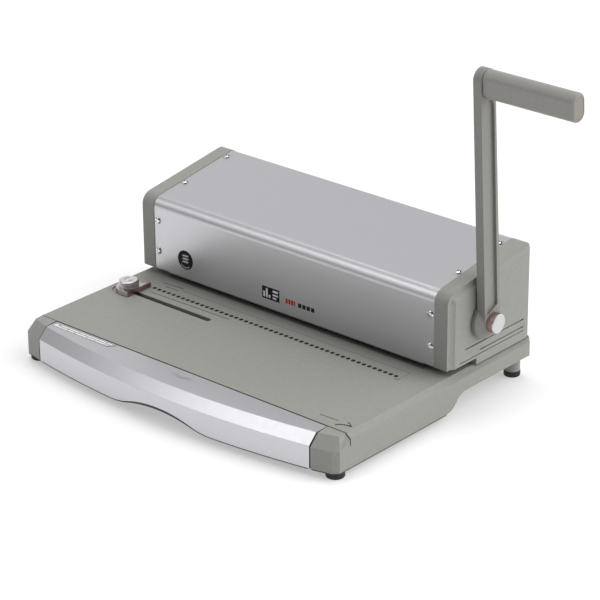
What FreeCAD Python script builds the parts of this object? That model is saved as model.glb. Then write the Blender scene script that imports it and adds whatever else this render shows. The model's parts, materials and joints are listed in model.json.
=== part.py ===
import FreeCAD, Part
import math
import os

import Sketcher

# Manual coil-binding punch: a lever-driven 49-hole punch on a low base with a chip drawer.
# Working frame: X across the machine from its middle, Y from the printed hole row towards the
# rear, Z up from the surface the machine stands on. Every sub-part's Placement then carries it
# to the row frame, whose origin is the middle of the footprint of the whole machine.
# Joint travel: the lever turns about X, the punch bar slides down, the guide slides along X,
# its knob turns about Z and the chip drawer slides forward along -Y.

DIMENSIONS = [
    # base
    ("base_width", 370.0), ("deck_height", 38.0), ("deck_front", -108.5), ("base_rear", 140.5),
    ("front_bottom", 7.3), ("rear_bottom", 20.7), ("step_start", 19.0), ("step_end", 45.0),
    ("wall", 3.0), ("bevel_run", 5.3), ("bevel_drop", 4.3), ("rear_chamfer", 4.0),
    ("plate_thick", 1.6), ("post_radius", 7.2), ("post_x", 171.0), ("post_y", 130.0),
    ("front_foot_x", 175.8), ("front_foot_y", -117.5), ("front_foot_radius", 8.3),
    ("tip_height", 5.6), ("boss_x", 168.0), ("boss_radius", 4.0),
    # drawer
    ("front_half", 160.0), ("front_edge", -132.2), ("bow_depth", 14.3), ("seam", 1.1),
    ("crease_height", 28.2), ("slope_run", 9.2), ("slope_rise", 9.1), ("skin", 2.5),
    ("arch_half", 60.0), ("arch_rise", 9.7), ("arch_crown", 38.0),
    ("tray_half", 150.0), ("tray_front", -104.0), ("tray_floor", 11.2), ("tray_top", 30.0),
    ("tray_wall", 2.0), ("tray_rear", 47.0), ("flange", 6.0),
    # punch head casing
    ("head_width", 360.6), ("cover_half", 165.6), ("head_front", 24.4), ("head_rear", 138.5),
    ("top_front", 114.0), ("top_rear", 131.0), ("cover_bottom", 44.8), ("cap_bottom", 44.6),
    ("cap_step", 62.0), ("radius_front", 11.0), ("radius_rear", 8.0), ("sheet", 1.5),
    ("cap_proud", 0.4), ("cap_wall", 2.6), ("panel_rise", 2.6), ("screw_x", 161.4),
    ("screw_head", 3.5), ("thread_radius", 1.4),
    # punching mechanism
    ("hole_count", 49.0), ("hole_pitch", 6.0), ("pin_radius", 2.0), ("pin_row", 34.0),
    ("frame_half", 152.4), ("frame_thick", 4.0), ("die_thick", 5.0), ("paper_gap", 4.5),
    ("guide_thick", 5.8), ("holder_bottom", 61.0), ("bar_bottom", 66.0), ("bar_top", 88.0),
    ("punch_front", 26.6), ("bar_rear", 53.0), ("rod_x", 135.0), ("rod_y", 46.0),
    ("rod_radius", 3.5), ("fit", 0.05), ("spring_wire", 1.2), ("spring_turns", 7.0),
    ("foot_bolt_x", 146.0), ("bolt_radius", 2.5), ("beam_bottom", 100.5), ("beam_top", 108.5),
    ("teeth", 12.0), ("gear_module", 1.5), ("gear_x", 110.0), ("gear_width", 14.0),
    ("pivot_y", 70.0), ("pivot_z", 79.5), ("shaft_radius", 7.0),
    # lever
    ("lever_lean", 3.55), ("lever_length", 220.6), ("arm_inner", 185.2), ("arm_outer", 193.6),
    ("arm_low_half", 10.7), ("arm_top_half", 9.9), ("hub_radius", 17.0), ("pivot_cap_radius", 10.0),
    ("pivot_cap_face", 200.3), ("grip_end", 285.4), ("grip_cap", 3.0), ("grip_height", 25.6),
    ("grip_depth", 16.4), ("core_radius", 5.0),
    # edge guide
    ("slot_y", -19.4), ("slot_start", -170.0), ("slot_end", -55.8), ("slot_width", 5.7),
    ("pocket_x", -163.5), ("pocket_radius", 11.8), ("pocket_depth", 1.2), ("knob_x", -158.0),
    ("knob_radius", 9.5), ("stud_radius", 2.5), ("knob_top", 49.4), ("stop_x", -148.5),
    ("stop_front", -31.5),
    ("stop_rear", 0.0), ("stop_thick", 4.8),
]

# Where the machine's middle lies in the row frame, once the lever's reach is counted in.
SHIFT_X = "(D.base_width / 2 - D.grip_end) / 2"
SHIFT_Y = "-(D.base_rear + D.front_edge - D.bow_depth) / 2"

doc = FreeCAD.newDocument("CoilPunch")
sheet = doc.addObject("Spreadsheet::Sheet", "D")
for row, (alias, size) in enumerate(DIMENSIONS, start=1):
    sheet.set("A%d" % row, alias)
    sheet.set("B%d" % row, str(size))
    sheet.setAlias("B%d" % row, alias)
doc.recompute()

subparts = []
own_place = {}


def value(expression):
    """The present value of an expression of the sheet's dimensions."""
    return float(sheet.evalExpression(str(expression)))


def register(obj, label, at=("0", "0", "0"), lean=None):
    """Name a finished sub-part and bind its Placement to the row frame."""
    own = own_place.get(obj.Name, at)
    if lean:
        tilt = FreeCAD.Rotation(FreeCAD.Vector(1, 0, 0), value(lean))
        obj.Placement = FreeCAD.Placement(FreeCAD.Vector(), tilt)
        obj.setExpression(".Placement.Rotation.Angle", lean)
    obj.setExpression(".Placement.Base.x", "%s + %s" % (own[0], SHIFT_X))
    obj.setExpression(".Placement.Base.y", "%s + %s" % (own[1], SHIFT_Y))
    obj.setExpression(".Placement.Base.z", own[2])
    obj.Label = label
    subparts.append(obj)
    return obj


# ---------------------------------------------------------------- sketches and features

def new_body(name):
    return doc.addObject("PartDesign::Body", name + "_body")


def sketch_on(body, role, offset="0"):
    """An empty sketch on one of the body's origin planes, moved along the plane's normal.
    The normals are +Z for XY_Plane, -Y for XZ_Plane and +X for YZ_Plane."""
    plane = [item for item in body.Origin.OriginFeatures if item.Role == role][0]
    sketch = body.newObject("Sketcher::SketchObject", "sketch")
    sketch.AttachmentSupport = [(plane, "")]
    sketch.MapMode = "FlatFace"
    sketch.setExpression("AttachmentOffset.Base.z", offset)
    return sketch


def arc_middle(start, end, radius, turn):
    """Middle of the shorter arc from start to end; turn is +1 anticlockwise, -1 clockwise."""
    chord = end - start
    half = chord.Length / 2
    rise = radius - math.sqrt(max(radius ** 2 - half ** 2, 0))
    side = FreeCAD.Vector(chord.y, -chord.x, 0).normalize()
    return (start + end) * 0.5 + side * (turn * rise)


def draw_outline(sketch, points):
    """A closed outline. Each point is (x, y) or (x, y, radius, turn), the last two when the
    edge that arrives at it is an arc. All its sizes are bound to the sheet."""
    corners = [FreeCAD.Vector(value(p[0]), value(p[1]), 0) for p in points]
    count = len(points)
    first = sketch.GeometryCount
    ends = []
    for i in range(count):
        start, end = corners[i - 1], corners[i]
        arc = points[i][2:]
        if not arc:
            index = sketch.addGeometry(Part.LineSegment(start, end))
            ends.append((index, 1, 2))
            continue
        middle = arc_middle(start, end, value(arc[0]), arc[1])
        if arc[1] > 0:
            index = sketch.addGeometry(Part.Arc(start, middle, end))
            ends.append((index, 1, 2))
        else:
            index = sketch.addGeometry(Part.Arc(end, middle, start))
            ends.append((index, 2, 1))
        number = sketch.addConstraint(Sketcher.Constraint("Radius", index, value(arc[0])))
        sketch.setExpression("Constraints[%d]" % number, str(arc[0]))
    for i in range(count):
        index, _, tail = ends[i]
        following, head, _ = ends[(i + 1) % count]
        sketch.addConstraint(Sketcher.Constraint("Coincident", index, tail, following, head))
        for kind, size, text in (("DistanceX", corners[i].x, points[i][0]),
                                 ("DistanceY", corners[i].y, points[i][1])):
            number = sketch.addConstraint(Sketcher.Constraint(kind, -1, 1, index, tail, size))
            sketch.setExpression("Constraints[%d]" % number, str(text))
    return first


def draw_circle(sketch, x, y, radius):
    centre = FreeCAD.Vector(value(x), value(y), 0)
    index = sketch.addGeometry(Part.Circle(centre, FreeCAD.Vector(0, 0, 1), value(radius)))
    for kind, size, text in (("DistanceX", centre.x, x), ("DistanceY", centre.y, y)):
        number = sketch.addConstraint(Sketcher.Constraint(kind, -1, 1, index, 3, size))
        sketch.setExpression("Constraints[%d]" % number, str(text))
    number = sketch.addConstraint(Sketcher.Constraint("Radius", index, value(radius)))
    sketch.setExpression("Constraints[%d]" % number, str(radius))


def outline_on(body, role, offset, points):
    sketch = sketch_on(body, role, offset)
    draw_outline(sketch, points)
    return sketch


def circles_on(body, role, offset, circles):
    sketch = sketch_on(body, role, offset)
    for circle in circles:
        draw_circle(sketch, *circle)
    return sketch


def extrude(body, kind, sketch, length, reverse):
    """A Pad or Pocket, checked by the volume it adds or removes."""
    before = body.Shape.Volume if body.Tip else 0.0
    feature = body.newObject("PartDesign::" + kind, kind.lower())
    feature.Profile = sketch
    feature.Reversed = reverse
    feature.setExpression("Length", str(length))
    doc.recompute()
    change = feature.Shape.Volume - before
    if (kind == "Pad") != (change > 0.01) or abs(change) < 0.01:
        raise RuntimeError("%s of %s changed the volume by %.3f" % (kind, body.Name, change))
    return feature


def pad(body, sketch, length, reverse=False):
    """Adds along the sketch's normal, or against it when reversed."""
    return extrude(body, "Pad", sketch, length, reverse)


def pocket(body, sketch, length, reverse=False):
    """Cuts against the sketch's normal, or along it when reversed."""
    return extrude(body, "Pocket", sketch, length, reverse)


def edge_names(shape, test):
    """Names of the straight edges whose middle and direction pass the test."""
    names = []
    for number, edge in enumerate(shape.Edges, start=1):
        if isinstance(edge.Curve, Part.Line):
            middle = edge.valueAt((edge.FirstParameter + edge.LastParameter) / 2)
            if test(middle, edge.Curve.Direction):
                names.append("Edge%d" % number)
    return names


def dress(body, kind, test, size):
    """A Fillet or Chamfer on the edges that pass the test."""
    base = body.Tip
    names = edge_names(base.Shape, test)
    if not names:
        raise RuntimeError("no edge to dress on " + body.Name)
    feature = body.newObject("PartDesign::" + kind, kind.lower())
    feature.Base = (base, names)
    feature.setExpression("Radius" if kind == "Fillet" else "Size", str(size))
    doc.recompute()
    return feature


def near(a, b, tolerance=0.05):
    return abs(a - value(b)) < tolerance


def rectangle(x0, y0, x1, y1):
    return [(x0, y0), (x1, y0), (x1, y1), (x0, y1)]


def stadium(x0, x1, y, radius):
    """A slot outline along the sketch's first axis, between two end centres."""
    low, high = "%s - %s" % (y, radius), "%s + %s" % (y, radius)
    tip0, tip1 = "%s - %s" % (x0, radius), "%s + %s" % (x1, radius)
    return [(x0, low), (x1, low), (tip1, y, radius, 1), (x1, high, radius, 1),
            (x0, high), (tip0, y, radius, 1), (x0, low, radius, 1)][1:]


# ---------------------------------------------------------------- primitives and booleans

def bind_place(obj, x, y, z):
    for axis, text in zip("xyz", (x, y, z)):
        obj.setExpression(".Placement.Base." + axis, str(text))
    own_place[obj.Name] = (str(x), str(y), str(z))
    return obj


def block(name, x0, y0, z0, x1, y1, z1):
    """A box between two corners, given as expressions."""
    obj = doc.addObject("Part::Box", name)
    for side, low, high in (("Length", x0, x1), ("Width", y0, y1), ("Height", z0, z1)):
        obj.setExpression(side, "(%s) - (%s)" % (high, low))
    return bind_place(obj, x0, y0, z0)


def rod(name, radius, length, x, y, z, axis="z"):
    """A cylinder from a point along +X, +Y or +Z."""
    obj = doc.addObject("Part::Cylinder", name)
    turns = {"z": FreeCAD.Rotation(), "x": FreeCAD.Rotation(FreeCAD.Vector(0, 1, 0), 90),
             "y": FreeCAD.Rotation(FreeCAD.Vector(1, 0, 0), -90)}
    obj.Placement = FreeCAD.Placement(FreeCAD.Vector(), turns[axis])
    obj.setExpression("Radius", str(radius))
    obj.setExpression("Height", str(length))
    return bind_place(obj, x, y, z)


def joined(name, parts):
    obj = doc.addObject("Part::MultiFuse", name)
    obj.Shapes = parts
    return obj


def cut_from(name, base, tools):
    """Base less all its tools."""
    obj = doc.addObject("Part::Cut", name)
    obj.Base = base
    obj.Tool = tools[0] if len(tools) == 1 else joined(name + "_tools", tools)
    return obj


def group(name, parts):
    """Separate solids kept in one sub-part, for identical fasteners and pins."""
    obj = doc.addObject("Part::Compound", name)
    obj.Links = parts
    return obj


def mirrored_x(text, sign):
    return text if sign > 0 else "-(%s)" % text


# ---------------------------------------------------------------- base

HALF = "D.base_width / 2"
DECK = "D.deck_height"
UNDER_DECK = "D.deck_height - D.wall"
SLOT_R = "D.slot_width / 2"
FOOT_BOLTS_Y = ("75", "120")
BOSSES_Y = ("-80", "-10", "75")


def base_housing():
    """Deck, side walls and rear wall in one moulding, with the two rear legs and screw bosses."""
    body = new_body("base_housing")
    section = [("-" + HALF, "D.front_bottom"), (HALF, "D.front_bottom"),
               (HALF, DECK + " - D.bevel_drop"), (HALF + " - D.bevel_run", DECK),
               ("-" + HALF + " + D.bevel_run", DECK), ("-" + HALF, DECK + " - D.bevel_drop")]
    pad(body, outline_on(body, "XZ_Plane", "-D.deck_front", section),
        "D.base_rear - D.deck_front", reverse=True)
    dress(body, "Chamfer", lambda m, d: near(m.y, "D.base_rear") and abs(d.z) > 0.9, "D.rear_chamfer")
    inner = HALF + " - D.wall"
    shoulder = UNDER_DECK + " - D.bevel_drop"
    hollow = [("-(%s)" % inner, "0"), (inner, "0"), (inner, shoulder),
              (inner + " - D.bevel_run", UNDER_DECK), ("-(%s) + D.bevel_run" % inner, UNDER_DECK),
              ("-(%s)" % inner, shoulder)]
    pocket(body, outline_on(body, "XZ_Plane", "-D.deck_front + 1", hollow),
           "D.base_rear - D.wall - D.deck_front + 1")
    middle_y = "(D.step_start + D.step_end) / 2"
    middle_z = "(D.front_bottom + D.rear_bottom) / 2"
    rise, run = "(D.rear_bottom - D.front_bottom)", "(D.step_end - D.step_start)"
    turn = "(%s^2 + %s^2) / (4 * %s)" % (run, rise, rise)
    step = [("D.step_start", "D.front_bottom"), (middle_y, middle_z, turn, 1),
            ("D.step_end", "D.rear_bottom", turn, -1), ("D.base_rear + 1", "D.rear_bottom"),
            ("D.base_rear + 1", "-1"), ("D.step_start", "-1")]
    pocket(body, outline_on(body, "YZ_Plane", HALF + " + 1", step), "D.base_width + 2")
    legs = [(sign + "D.post_x", "D.post_y", "D.post_radius") for sign in ("-", "")]
    pad(body, circles_on(body, "XY_Plane", "D.tip_height", legs), UNDER_DECK + " - D.tip_height + 1")
    stems = [(x, y, "D.post_radius / 2") for x, y, _ in legs]
    pocket(body, circles_on(body, "XY_Plane", "D.tip_height + 4", stems), "4")
    low = [(sign + "D.boss_x", y, "D.boss_radius") for sign in ("-", "") for y in BOSSES_Y[:2]]
    plate_top = "D.front_bottom + 1.5 + D.plate_thick"
    pad(body, circles_on(body, "XY_Plane", plate_top, low), UNDER_DECK + " - (%s) + 1" % plate_top)
    high = [(sign + "D.boss_x", BOSSES_Y[2], "D.boss_radius") for sign in ("-", "")]
    shelf = "D.rear_bottom + 1.5 + D.plate_thick"
    pad(body, circles_on(body, "XY_Plane", shelf, high), UNDER_DECK + " - (%s) + 1" % shelf)
    for bosses, bottom in ((low, plate_top), (high, shelf)):
        pilots = [(x, y, "D.thread_radius + D.fit") for x, y, _ in bosses]
        pocket(body, circles_on(body, "XY_Plane", bottom, pilots), "8", reverse=True)
    die_seat = rectangle("-D.frame_half", "D.punch_front - 0.1", "D.frame_half", "D.bar_rear + 0.1")
    pocket(body, outline_on(body, "XY_Plane", DECK, die_seat), "D.wall")
    guide_slot = stadium("D.slot_start + " + SLOT_R, "D.slot_end - " + SLOT_R, "D.slot_y", SLOT_R)
    pocket(body, outline_on(body, "XY_Plane", DECK, guide_slot), "D.wall")
    rest = [("D.pocket_x", "D.slot_y", "D.pocket_radius")]
    pocket(body, circles_on(body, "XY_Plane", DECK, rest), "D.pocket_depth")
    bolts = [(sign + "D.foot_bolt_x", y, "D.bolt_radius + 0.1")
             for sign in ("-", "") for y in FOOT_BOLTS_Y]
    pocket(body, circles_on(body, "XY_Plane", DECK, bolts), "D.wall")
    return register(body, "base_housing")


def base_plate():
    """Bottom sheet: low under the drawer, raised behind it, with holes for the rear legs."""
    body = new_body("base_plate")
    low, high = "D.front_bottom + 1.5", "D.rear_bottom + 1.5"
    front, rear = "D.tray_front", "D.base_rear - D.wall - 0.2"
    profile = [(front, low), ("D.step_start - 2", low), ("D.step_end", high), (rear, high),
               (rear, high + " + D.plate_thick"), ("D.step_end - 0.8", high + " + D.plate_thick"),
               ("D.step_start - 2.8", low + " + D.plate_thick"), (front, low + " + D.plate_thick")]
    side = HALF + " - D.wall - 0.2"
    pad(body, outline_on(body, "YZ_Plane", "-(%s)" % side, profile), "2 * (%s)" % side)
    legs = [(sign + "D.post_x", "D.post_y", "D.post_radius + 0.4") for sign in ("-", "")]
    screws = [(sign + "D.boss_x", y, "D.thread_radius + 0.3") for sign in ("-", "") for y in BOSSES_Y]
    pocket(body, circles_on(body, "XY_Plane", "D.rear_bottom + 6", legs + screws), "20")
    return register(body, "base_plate")


def corner_cap(label, sign):
    """Grey moulding beside the drawer: its front falls back towards the side wall, and its top
    edge is cut by a slope that runs out into the side's bevel. Hollow from below."""
    half, seam = value(HALF), value("D.front_half + D.seam")
    front, rear = value("D.front_edge"), value("D.deck_front")
    bottom, deck = value("D.front_bottom"), value(DECK)
    crease, run = value("D.crease_height"), value("D.slope_run")
    bevel_run, bevel_drop = value("D.bevel_run"), value("D.bevel_drop")
    plan = [(seam, front + 0.3, crease - 0.7), (half - 4.7, front + 4.9, crease - 0.9),
            (half, front + 9.7, crease - 1.7), (half, rear, deck - bevel_drop)]
    upper = [(seam, front + run + 0.8), (half - 9.0, front + run + 4.7),
             (half - bevel_run, front + run + 6.2), (half - bevel_run, rear)]
    top = [FreeCAD.Vector(x, y, deck - 0.9 * (rear - y) / (rear - front - run)) for x, y in upper]
    edge = [FreeCAD.Vector(x, y, z) for x, y, z in plan]
    foot = [FreeCAD.Vector(x, y, bottom) for x, y, _ in plan]
    inner_top, inner_foot = FreeCAD.Vector(seam, rear, deck), FreeCAD.Vector(seam, rear, bottom)

    def face(*corners):
        return Part.Face(Part.makePolygon(list(corners) + [corners[0]]))

    faces = [face(*(foot + [inner_foot]))]
    for i in range(len(plan) - 1):
        faces.append(face(foot[i], foot[i + 1], edge[i + 1], edge[i]))
        faces.append(face(edge[i], edge[i + 1], top[i + 1]))
        faces.append(face(edge[i], top[i + 1], top[i]))
        faces.append(face(top[i], top[i + 1], inner_top))
    faces.append(face(inner_foot, foot[0], edge[0], top[0], inner_top))
    faces.append(face(foot[-1], inner_foot, inner_top, top[-1], edge[-1]))
    solid = Part.Solid(Part.makeShell(faces))
    if solid.Volume < 0:
        solid.reverse()
    wall = value("D.skin")
    hollow_plan = [(seam + wall, front + wall + 1.2), (half - 9.4, front + wall + 8.0),
                   (half - wall - 1.4, front + wall + 12.6), (half - wall - 0.6, rear - wall),
                   (seam + wall, rear - wall)]
    outline = [FreeCAD.Vector(x, y, 0) for x, y in hollow_plan]
    hollow = Part.Face(Part.makePolygon(outline + [outline[0]])).extrude(
        FreeCAD.Vector(0, 0, crease - 2 * wall))
    centre = FreeCAD.Vector(value("D.front_foot_x"), value("D.front_foot_y"), bottom)
    boss = Part.makeCylinder(5.5, crease - bottom - wall, centre)
    stem_hole = Part.makeCylinder(3.0, 8.0, centre)
    solid = solid.cut(hollow).fuse(boss.common(solid)).cut(stem_hole).removeSplitter()
    if sign < 0:
        solid = solid.mirror(FreeCAD.Vector(0, 0, 0), FreeCAD.Vector(1, 0, 0))
    part = doc.addObject("Part::Feature", label + "_part")
    part.Shape = solid
    return register(part, label)


def feet():
    """Rubber feet: discs under the front corners and caps on the rear legs, with press-in stems."""
    front, rear = [], []
    for side, sign in (("left", "-"), ("right", "")):
        x, y = sign + "D.front_foot_x", "D.front_foot_y"
        disc = rod("front_disc_" + side, "D.front_foot_radius", "D.front_bottom", x, y, "0")
        stem = rod("front_stem_" + side, "2.95", "D.front_bottom + 7", x, y, "0")
        front.append(joined("front_foot_" + side, [disc, stem]))
        x, y = sign + "D.post_x", "D.post_y"
        tip = rod("rear_disc_" + side, "D.post_radius + 0.3", "D.tip_height", x, y, "0")
        stem = rod("rear_stem_" + side, "D.post_radius / 2 - 0.05", "D.tip_height + 3.5", x, y, "0")
        rear.append(joined("rear_foot_" + side, [tip, stem]))
    register(group("front_feet_group", front), "front_feet")
    register(group("rear_feet_group", rear), "rear_feet")


def base_screws():
    """Six screws that hold the bottom sheet to the bosses under the deck."""
    screws = []
    for sign in ("-", ""):
        for y, bottom in zip(BOSSES_Y, ("D.front_bottom", "D.front_bottom", "D.rear_bottom")):
            name = "base_screw_%d" % len(screws)
            head = rod(name + "_head", "3.2", "1.5", sign + "D.boss_x", y, bottom)
            shank = rod(name + "_shank", "D.thread_radius", "9", sign + "D.boss_x", y, bottom)
            screws.append(joined(name, [head, shank]))
    return register(group("base_screw_group", screws), "base_screws")


# ---------------------------------------------------------------- chip drawer

def drawer_front():
    """Silver bowed front of the drawer: a level lip, a sloping facet and an upright face that
    share one large plan radius, with a finger arch in the bottom edge."""
    body = new_body("drawer_front")
    bow = "((D.front_half^2 + D.bow_depth^2) / (2 * D.bow_depth))"
    apex = "(D.front_edge - D.bow_depth)"
    bottom, crease, skin = "D.front_bottom", "D.crease_height", "D.skin"
    ridge = "D.crease_height + D.slope_rise"
    lip = "D.deck_front + 8"
    shell = [(apex, bottom), (apex + " + " + skin, bottom),
             (apex + " + " + skin, crease + " - 1"),
             (apex + " + D.slope_run + 1", ridge + " - " + skin),
             (lip, DECK + " - " + skin), (lip, DECK),
             (apex + " + D.slope_run", ridge), (apex, crease)]
    sketch = outline_on(body, "YZ_Plane", "0", shell)
    axis = sketch.addGeometry(Part.LineSegment(FreeCAD.Vector(value(apex + " + " + bow), 0, 0),
                                               FreeCAD.Vector(value(apex + " + " + bow), 50, 0)), True)
    for point in (1, 2):
        reach = value(apex + " + " + bow)
        number = sketch.addConstraint(Sketcher.Constraint("DistanceX", -1, 1, axis, point, reach))
        sketch.setExpression("Constraints[%d]" % number, apex + " + " + bow)
    turned = body.newObject("PartDesign::Revolution", "bowed_shell")
    turned.Profile = sketch
    turned.ReferenceAxis = (sketch, ["Axis0"])
    turned.Midplane = True
    turned.Angle = 24.0
    doc.recompute()
    for sign in ("-", ""):
        side = sign + "D.front_half"
        far_side = sign + "D.front_half " + (sign or "+") + " 60"
        waste = rectangle(side, "D.front_edge - 40", far_side, "D.deck_front + 60")
        pocket(body, outline_on(body, "XY_Plane", DECK + " + 1", waste), "60")
        edge = "D.front_edge + 0.5"
        web = [(edge, bottom), (edge, crease), (edge + " + D.slope_run", ridge + " - 0.1"),
               ("D.deck_front - 2", ridge + " - 0.1"), ("D.deck_front - 2", bottom)]
        start = side + (" + " if sign else " - ") + skin
        pad(body, outline_on(body, "YZ_Plane", start, web), skin, reverse=bool(sign))
    waste = rectangle("-D.front_half - 5", "D.deck_front - D.seam", "D.front_half + 5", "D.deck_front + 60")
    pocket(body, outline_on(body, "XY_Plane", DECK + " + 1", waste), "60")
    ratio = "(D.arch_rise / D.arch_half)"
    bend = "(1 + %s^2) / (2 * %s)" % (ratio, ratio)
    crown, foot = "D.arch_crown", "(D.arch_half - D.arch_crown)"
    level = "D.front_bottom + D.arch_rise * (1 - D.arch_crown / D.arch_half)"
    arch = [("-D.arch_half", "D.front_bottom"),
            ("-" + crown, level, foot + " * " + bend, 1),
            ("0", "D.front_bottom + D.arch_rise", crown + " * " + bend, -1),
            (crown, level, crown + " * " + bend, -1),
            ("D.arch_half", "D.front_bottom", foot + " * " + bend, 1),
            ("D.arch_half", "0"), ("-D.arch_half", "0")]
    pocket(body, outline_on(body, "XZ_Plane", "-(%s) + 5" % apex, arch), "20")
    wall_inside = apex + " + D.skin / 2"
    bosses = [(x, "20", "4") for x in ("-110", "0", "110")]
    pad(body, circles_on(body, "XZ_Plane", "-(%s) - 8" % wall_inside, bosses[::2]),
        "D.tray_front - (%s) - 8" % wall_inside, reverse=True)
    pilots = [(x, z, "1.25") for x, z, _ in bosses[::2]]
    pocket(body, circles_on(body, "XZ_Plane", "-D.tray_front", pilots), "10", reverse=True)
    return register(body, "drawer_front")


def chip_tray():
    """Bin under the punch: its floor rises at the rear to clear the step in the base, and its
    side flanges hang on the runners."""
    body = new_body("chip_tray")
    floor, top, wall = "D.tray_floor", "D.tray_top", "D.tray_wall"
    high = "D.rear_bottom + 4.1"
    outer = [("D.tray_front", floor), ("D.step_start - 3", floor), ("D.step_end", high),
             ("D.tray_rear", high), ("D.tray_rear", top), ("D.tray_front", top)]
    half = "D.tray_half"
    pad(body, outline_on(body, "YZ_Plane", "-" + half, outer), "2 * " + half)
    inner = [("D.tray_front + " + wall, floor + " + " + wall),
             ("D.step_start - 4", floor + " + " + wall), ("D.step_end - 1.2", high + " + " + wall),
             ("D.tray_rear - " + wall, high + " + " + wall), ("D.tray_rear - " + wall, top + " + 1"),
             ("D.tray_front + " + wall, top + " + 1")]
    pocket(body, outline_on(body, "YZ_Plane", half + " - " + wall, inner), "2 * (%s - %s)" % (half, wall))
    for sign in ("-", ""):
        ends = (sign + half, sign + "(D.tray_half + D.flange)")
        flange = rectangle(ends[0], "D.tray_front", ends[1], "D.step_start - 5")
        pad(body, outline_on(body, "XY_Plane", top + " - 2", flange), "2")
    holes = [(x, "20", "1.7") for x in ("-110", "110")]
    pocket(body, circles_on(body, "XZ_Plane", "-D.tray_front + 1", holes), "4", reverse=False)
    return register(body, "chip_tray")


def drawer_screws():
    """Two screws through the tray's front wall into the drawer front."""
    screws = []
    for x in ("-110", "110"):
        name = "drawer_screw_%d" % len(screws)
        head = rod(name + "_head", "3", "1.8", x, "D.tray_front + D.tray_wall", "20", "y")
        shank = rod(name + "_shank", "1.2", "10", x, "D.tray_front + D.tray_wall - 9.9", "20", "y")
        screws.append(joined(name, [head, shank]))
    return register(group("drawer_screw_group", screws), "drawer_screws")


def tray_runner(label, sign):
    """Channel on the bottom sheet that carries one flange of the tray."""
    body = new_body(label)
    floor = "D.front_bottom + 1.5 + D.plate_thick"
    inside, outside = "D.tray_half + 2.2", "D.tray_half + D.flange + 0.6"
    below, above = "D.tray_top - 2.3", "D.tray_top"
    points = [(inside, floor), (outside + " + 2", floor), (outside + " + 2", above),
              (outside, above), (outside, floor + " + 1.6"), (inside + " + 2", floor + " + 1.6"),
              (inside + " + 2", below), (inside, below)]
    points = [(mirrored_x(x, sign), z) for x, z in points]
    pad(body, outline_on(body, "XZ_Plane", "-D.tray_front - 4", points),
        "D.step_start - D.tray_front - 9", reverse=True)
    return register(body, label)


# ---------------------------------------------------------------- punch head casing

SLOPE = "atan((D.top_rear - D.top_front) / (D.head_rear - D.head_front))"


def head_outline(inset, bottom_front, bottom_rear):
    """Side outline of the head, shrunk by an inset: upright front, sloping top, upright rear,
    rounded where they meet. Listed clockwise from the front's foot."""
    front, rear = "(D.head_front + %s)" % inset, "(D.head_rear - %s)" % inset
    drop = "%s / cos(%s)" % (inset, SLOPE)
    front_top = "(D.top_front + %s * tan(%s) - %s)" % (inset, SLOPE, drop)
    rear_top = "(D.top_rear - %s * tan(%s) - %s)" % (inset, SLOPE, drop)
    front_arc, rear_arc = "(D.radius_front - %s)" % inset, "(D.radius_rear - %s)" % inset
    reach_front = "%s * tan((90 deg - %s) / 2)" % (front_arc, SLOPE)
    reach_rear = "%s * tan((90 deg + %s) / 2)" % (rear_arc, SLOPE)
    return [(front, bottom_front), (front, "%s - %s" % (front_top, reach_front)),
            ("%s + %s * cos(%s)" % (front, reach_front, SLOPE),
             "%s + %s * sin(%s)" % (front_top, reach_front, SLOPE), front_arc, -1),
            ("%s - %s * cos(%s)" % (rear, reach_rear, SLOPE),
             "%s - %s * sin(%s)" % (rear_top, reach_rear, SLOPE)),
            (rear, "%s - %s" % (rear_top, reach_rear), rear_arc, -1), (rear, bottom_rear)]


SCREW_HEIGHTS = ("93", "62.7")
SCREW_DEPTHS = ("61.8", "119.4")
PANEL_FOOT = "(%s + 0.4)" % DECK
VENTS = (("58.3", "45.4", "0.65"), ("51.2", "66.6", "0.65"), ("47.3", "38.7", "0.45"))


def drill_for_screws(body, columns, radius):
    """Holes for the cover screws: through front and rear, and through the top."""
    holes = [(x, z, radius) for x in columns for z in SCREW_HEIGHTS]
    pocket(body, circles_on(body, "XZ_Plane", "0", holes), "D.head_rear + 5")
    holes = [(x, y, radius) for x in columns for y in SCREW_DEPTHS]
    pocket(body, circles_on(body, "XY_Plane", "D.top_rear + 5", holes), "40")


def head_cover():
    """Bent sheet over the punch: front, sloping top and rear in one piece."""
    body = new_body("head_cover")
    half = "D.cover_half"
    outer = head_outline("0", "D.cover_bottom", DECK + " + 2")
    pad(body, outline_on(body, "YZ_Plane", "-" + half, outer), "2 * " + half)
    inner = head_outline("D.sheet", DECK + " - 2", DECK + " - 2")
    pocket(body, outline_on(body, "YZ_Plane", half, inner), "2 * " + half)
    drill_for_screws(body, ["-D.screw_x", "D.screw_x"], "D.thread_radius + 0.3")
    return register(body, "head_cover")


def panel_outline(front_margin, top_margin, rear_margin, radius):
    """Side outline of the raised panel, set in from the head's front, top and rear. Its foot
    is level with the cap's."""
    front = "(D.head_front + %s)" % front_margin
    rear = "(D.head_rear + D.cap_proud - %s)" % rear_margin
    top = "(D.top_front + %s * tan(%s) - %s / cos(%s))" % (front_margin, SLOPE, top_margin, SLOPE)
    reach = "%s * tan((90 deg - %s) / 2)" % (radius, SLOPE)
    return [(front, "D.cap_bottom"), (front, "%s - %s" % (top, reach)),
            ("%s + %s * cos(%s)" % (front, reach, SLOPE), "%s + %s * sin(%s)" % (top, reach, SLOPE),
             radius, -1),
            (rear, "%s + (%s - %s) * tan(%s)" % (top, rear, front, SLOPE)), (rear, PANEL_FOOT),
            ("D.cap_step", PANEL_FOOT), ("D.cap_step", "D.cap_bottom")]


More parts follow.
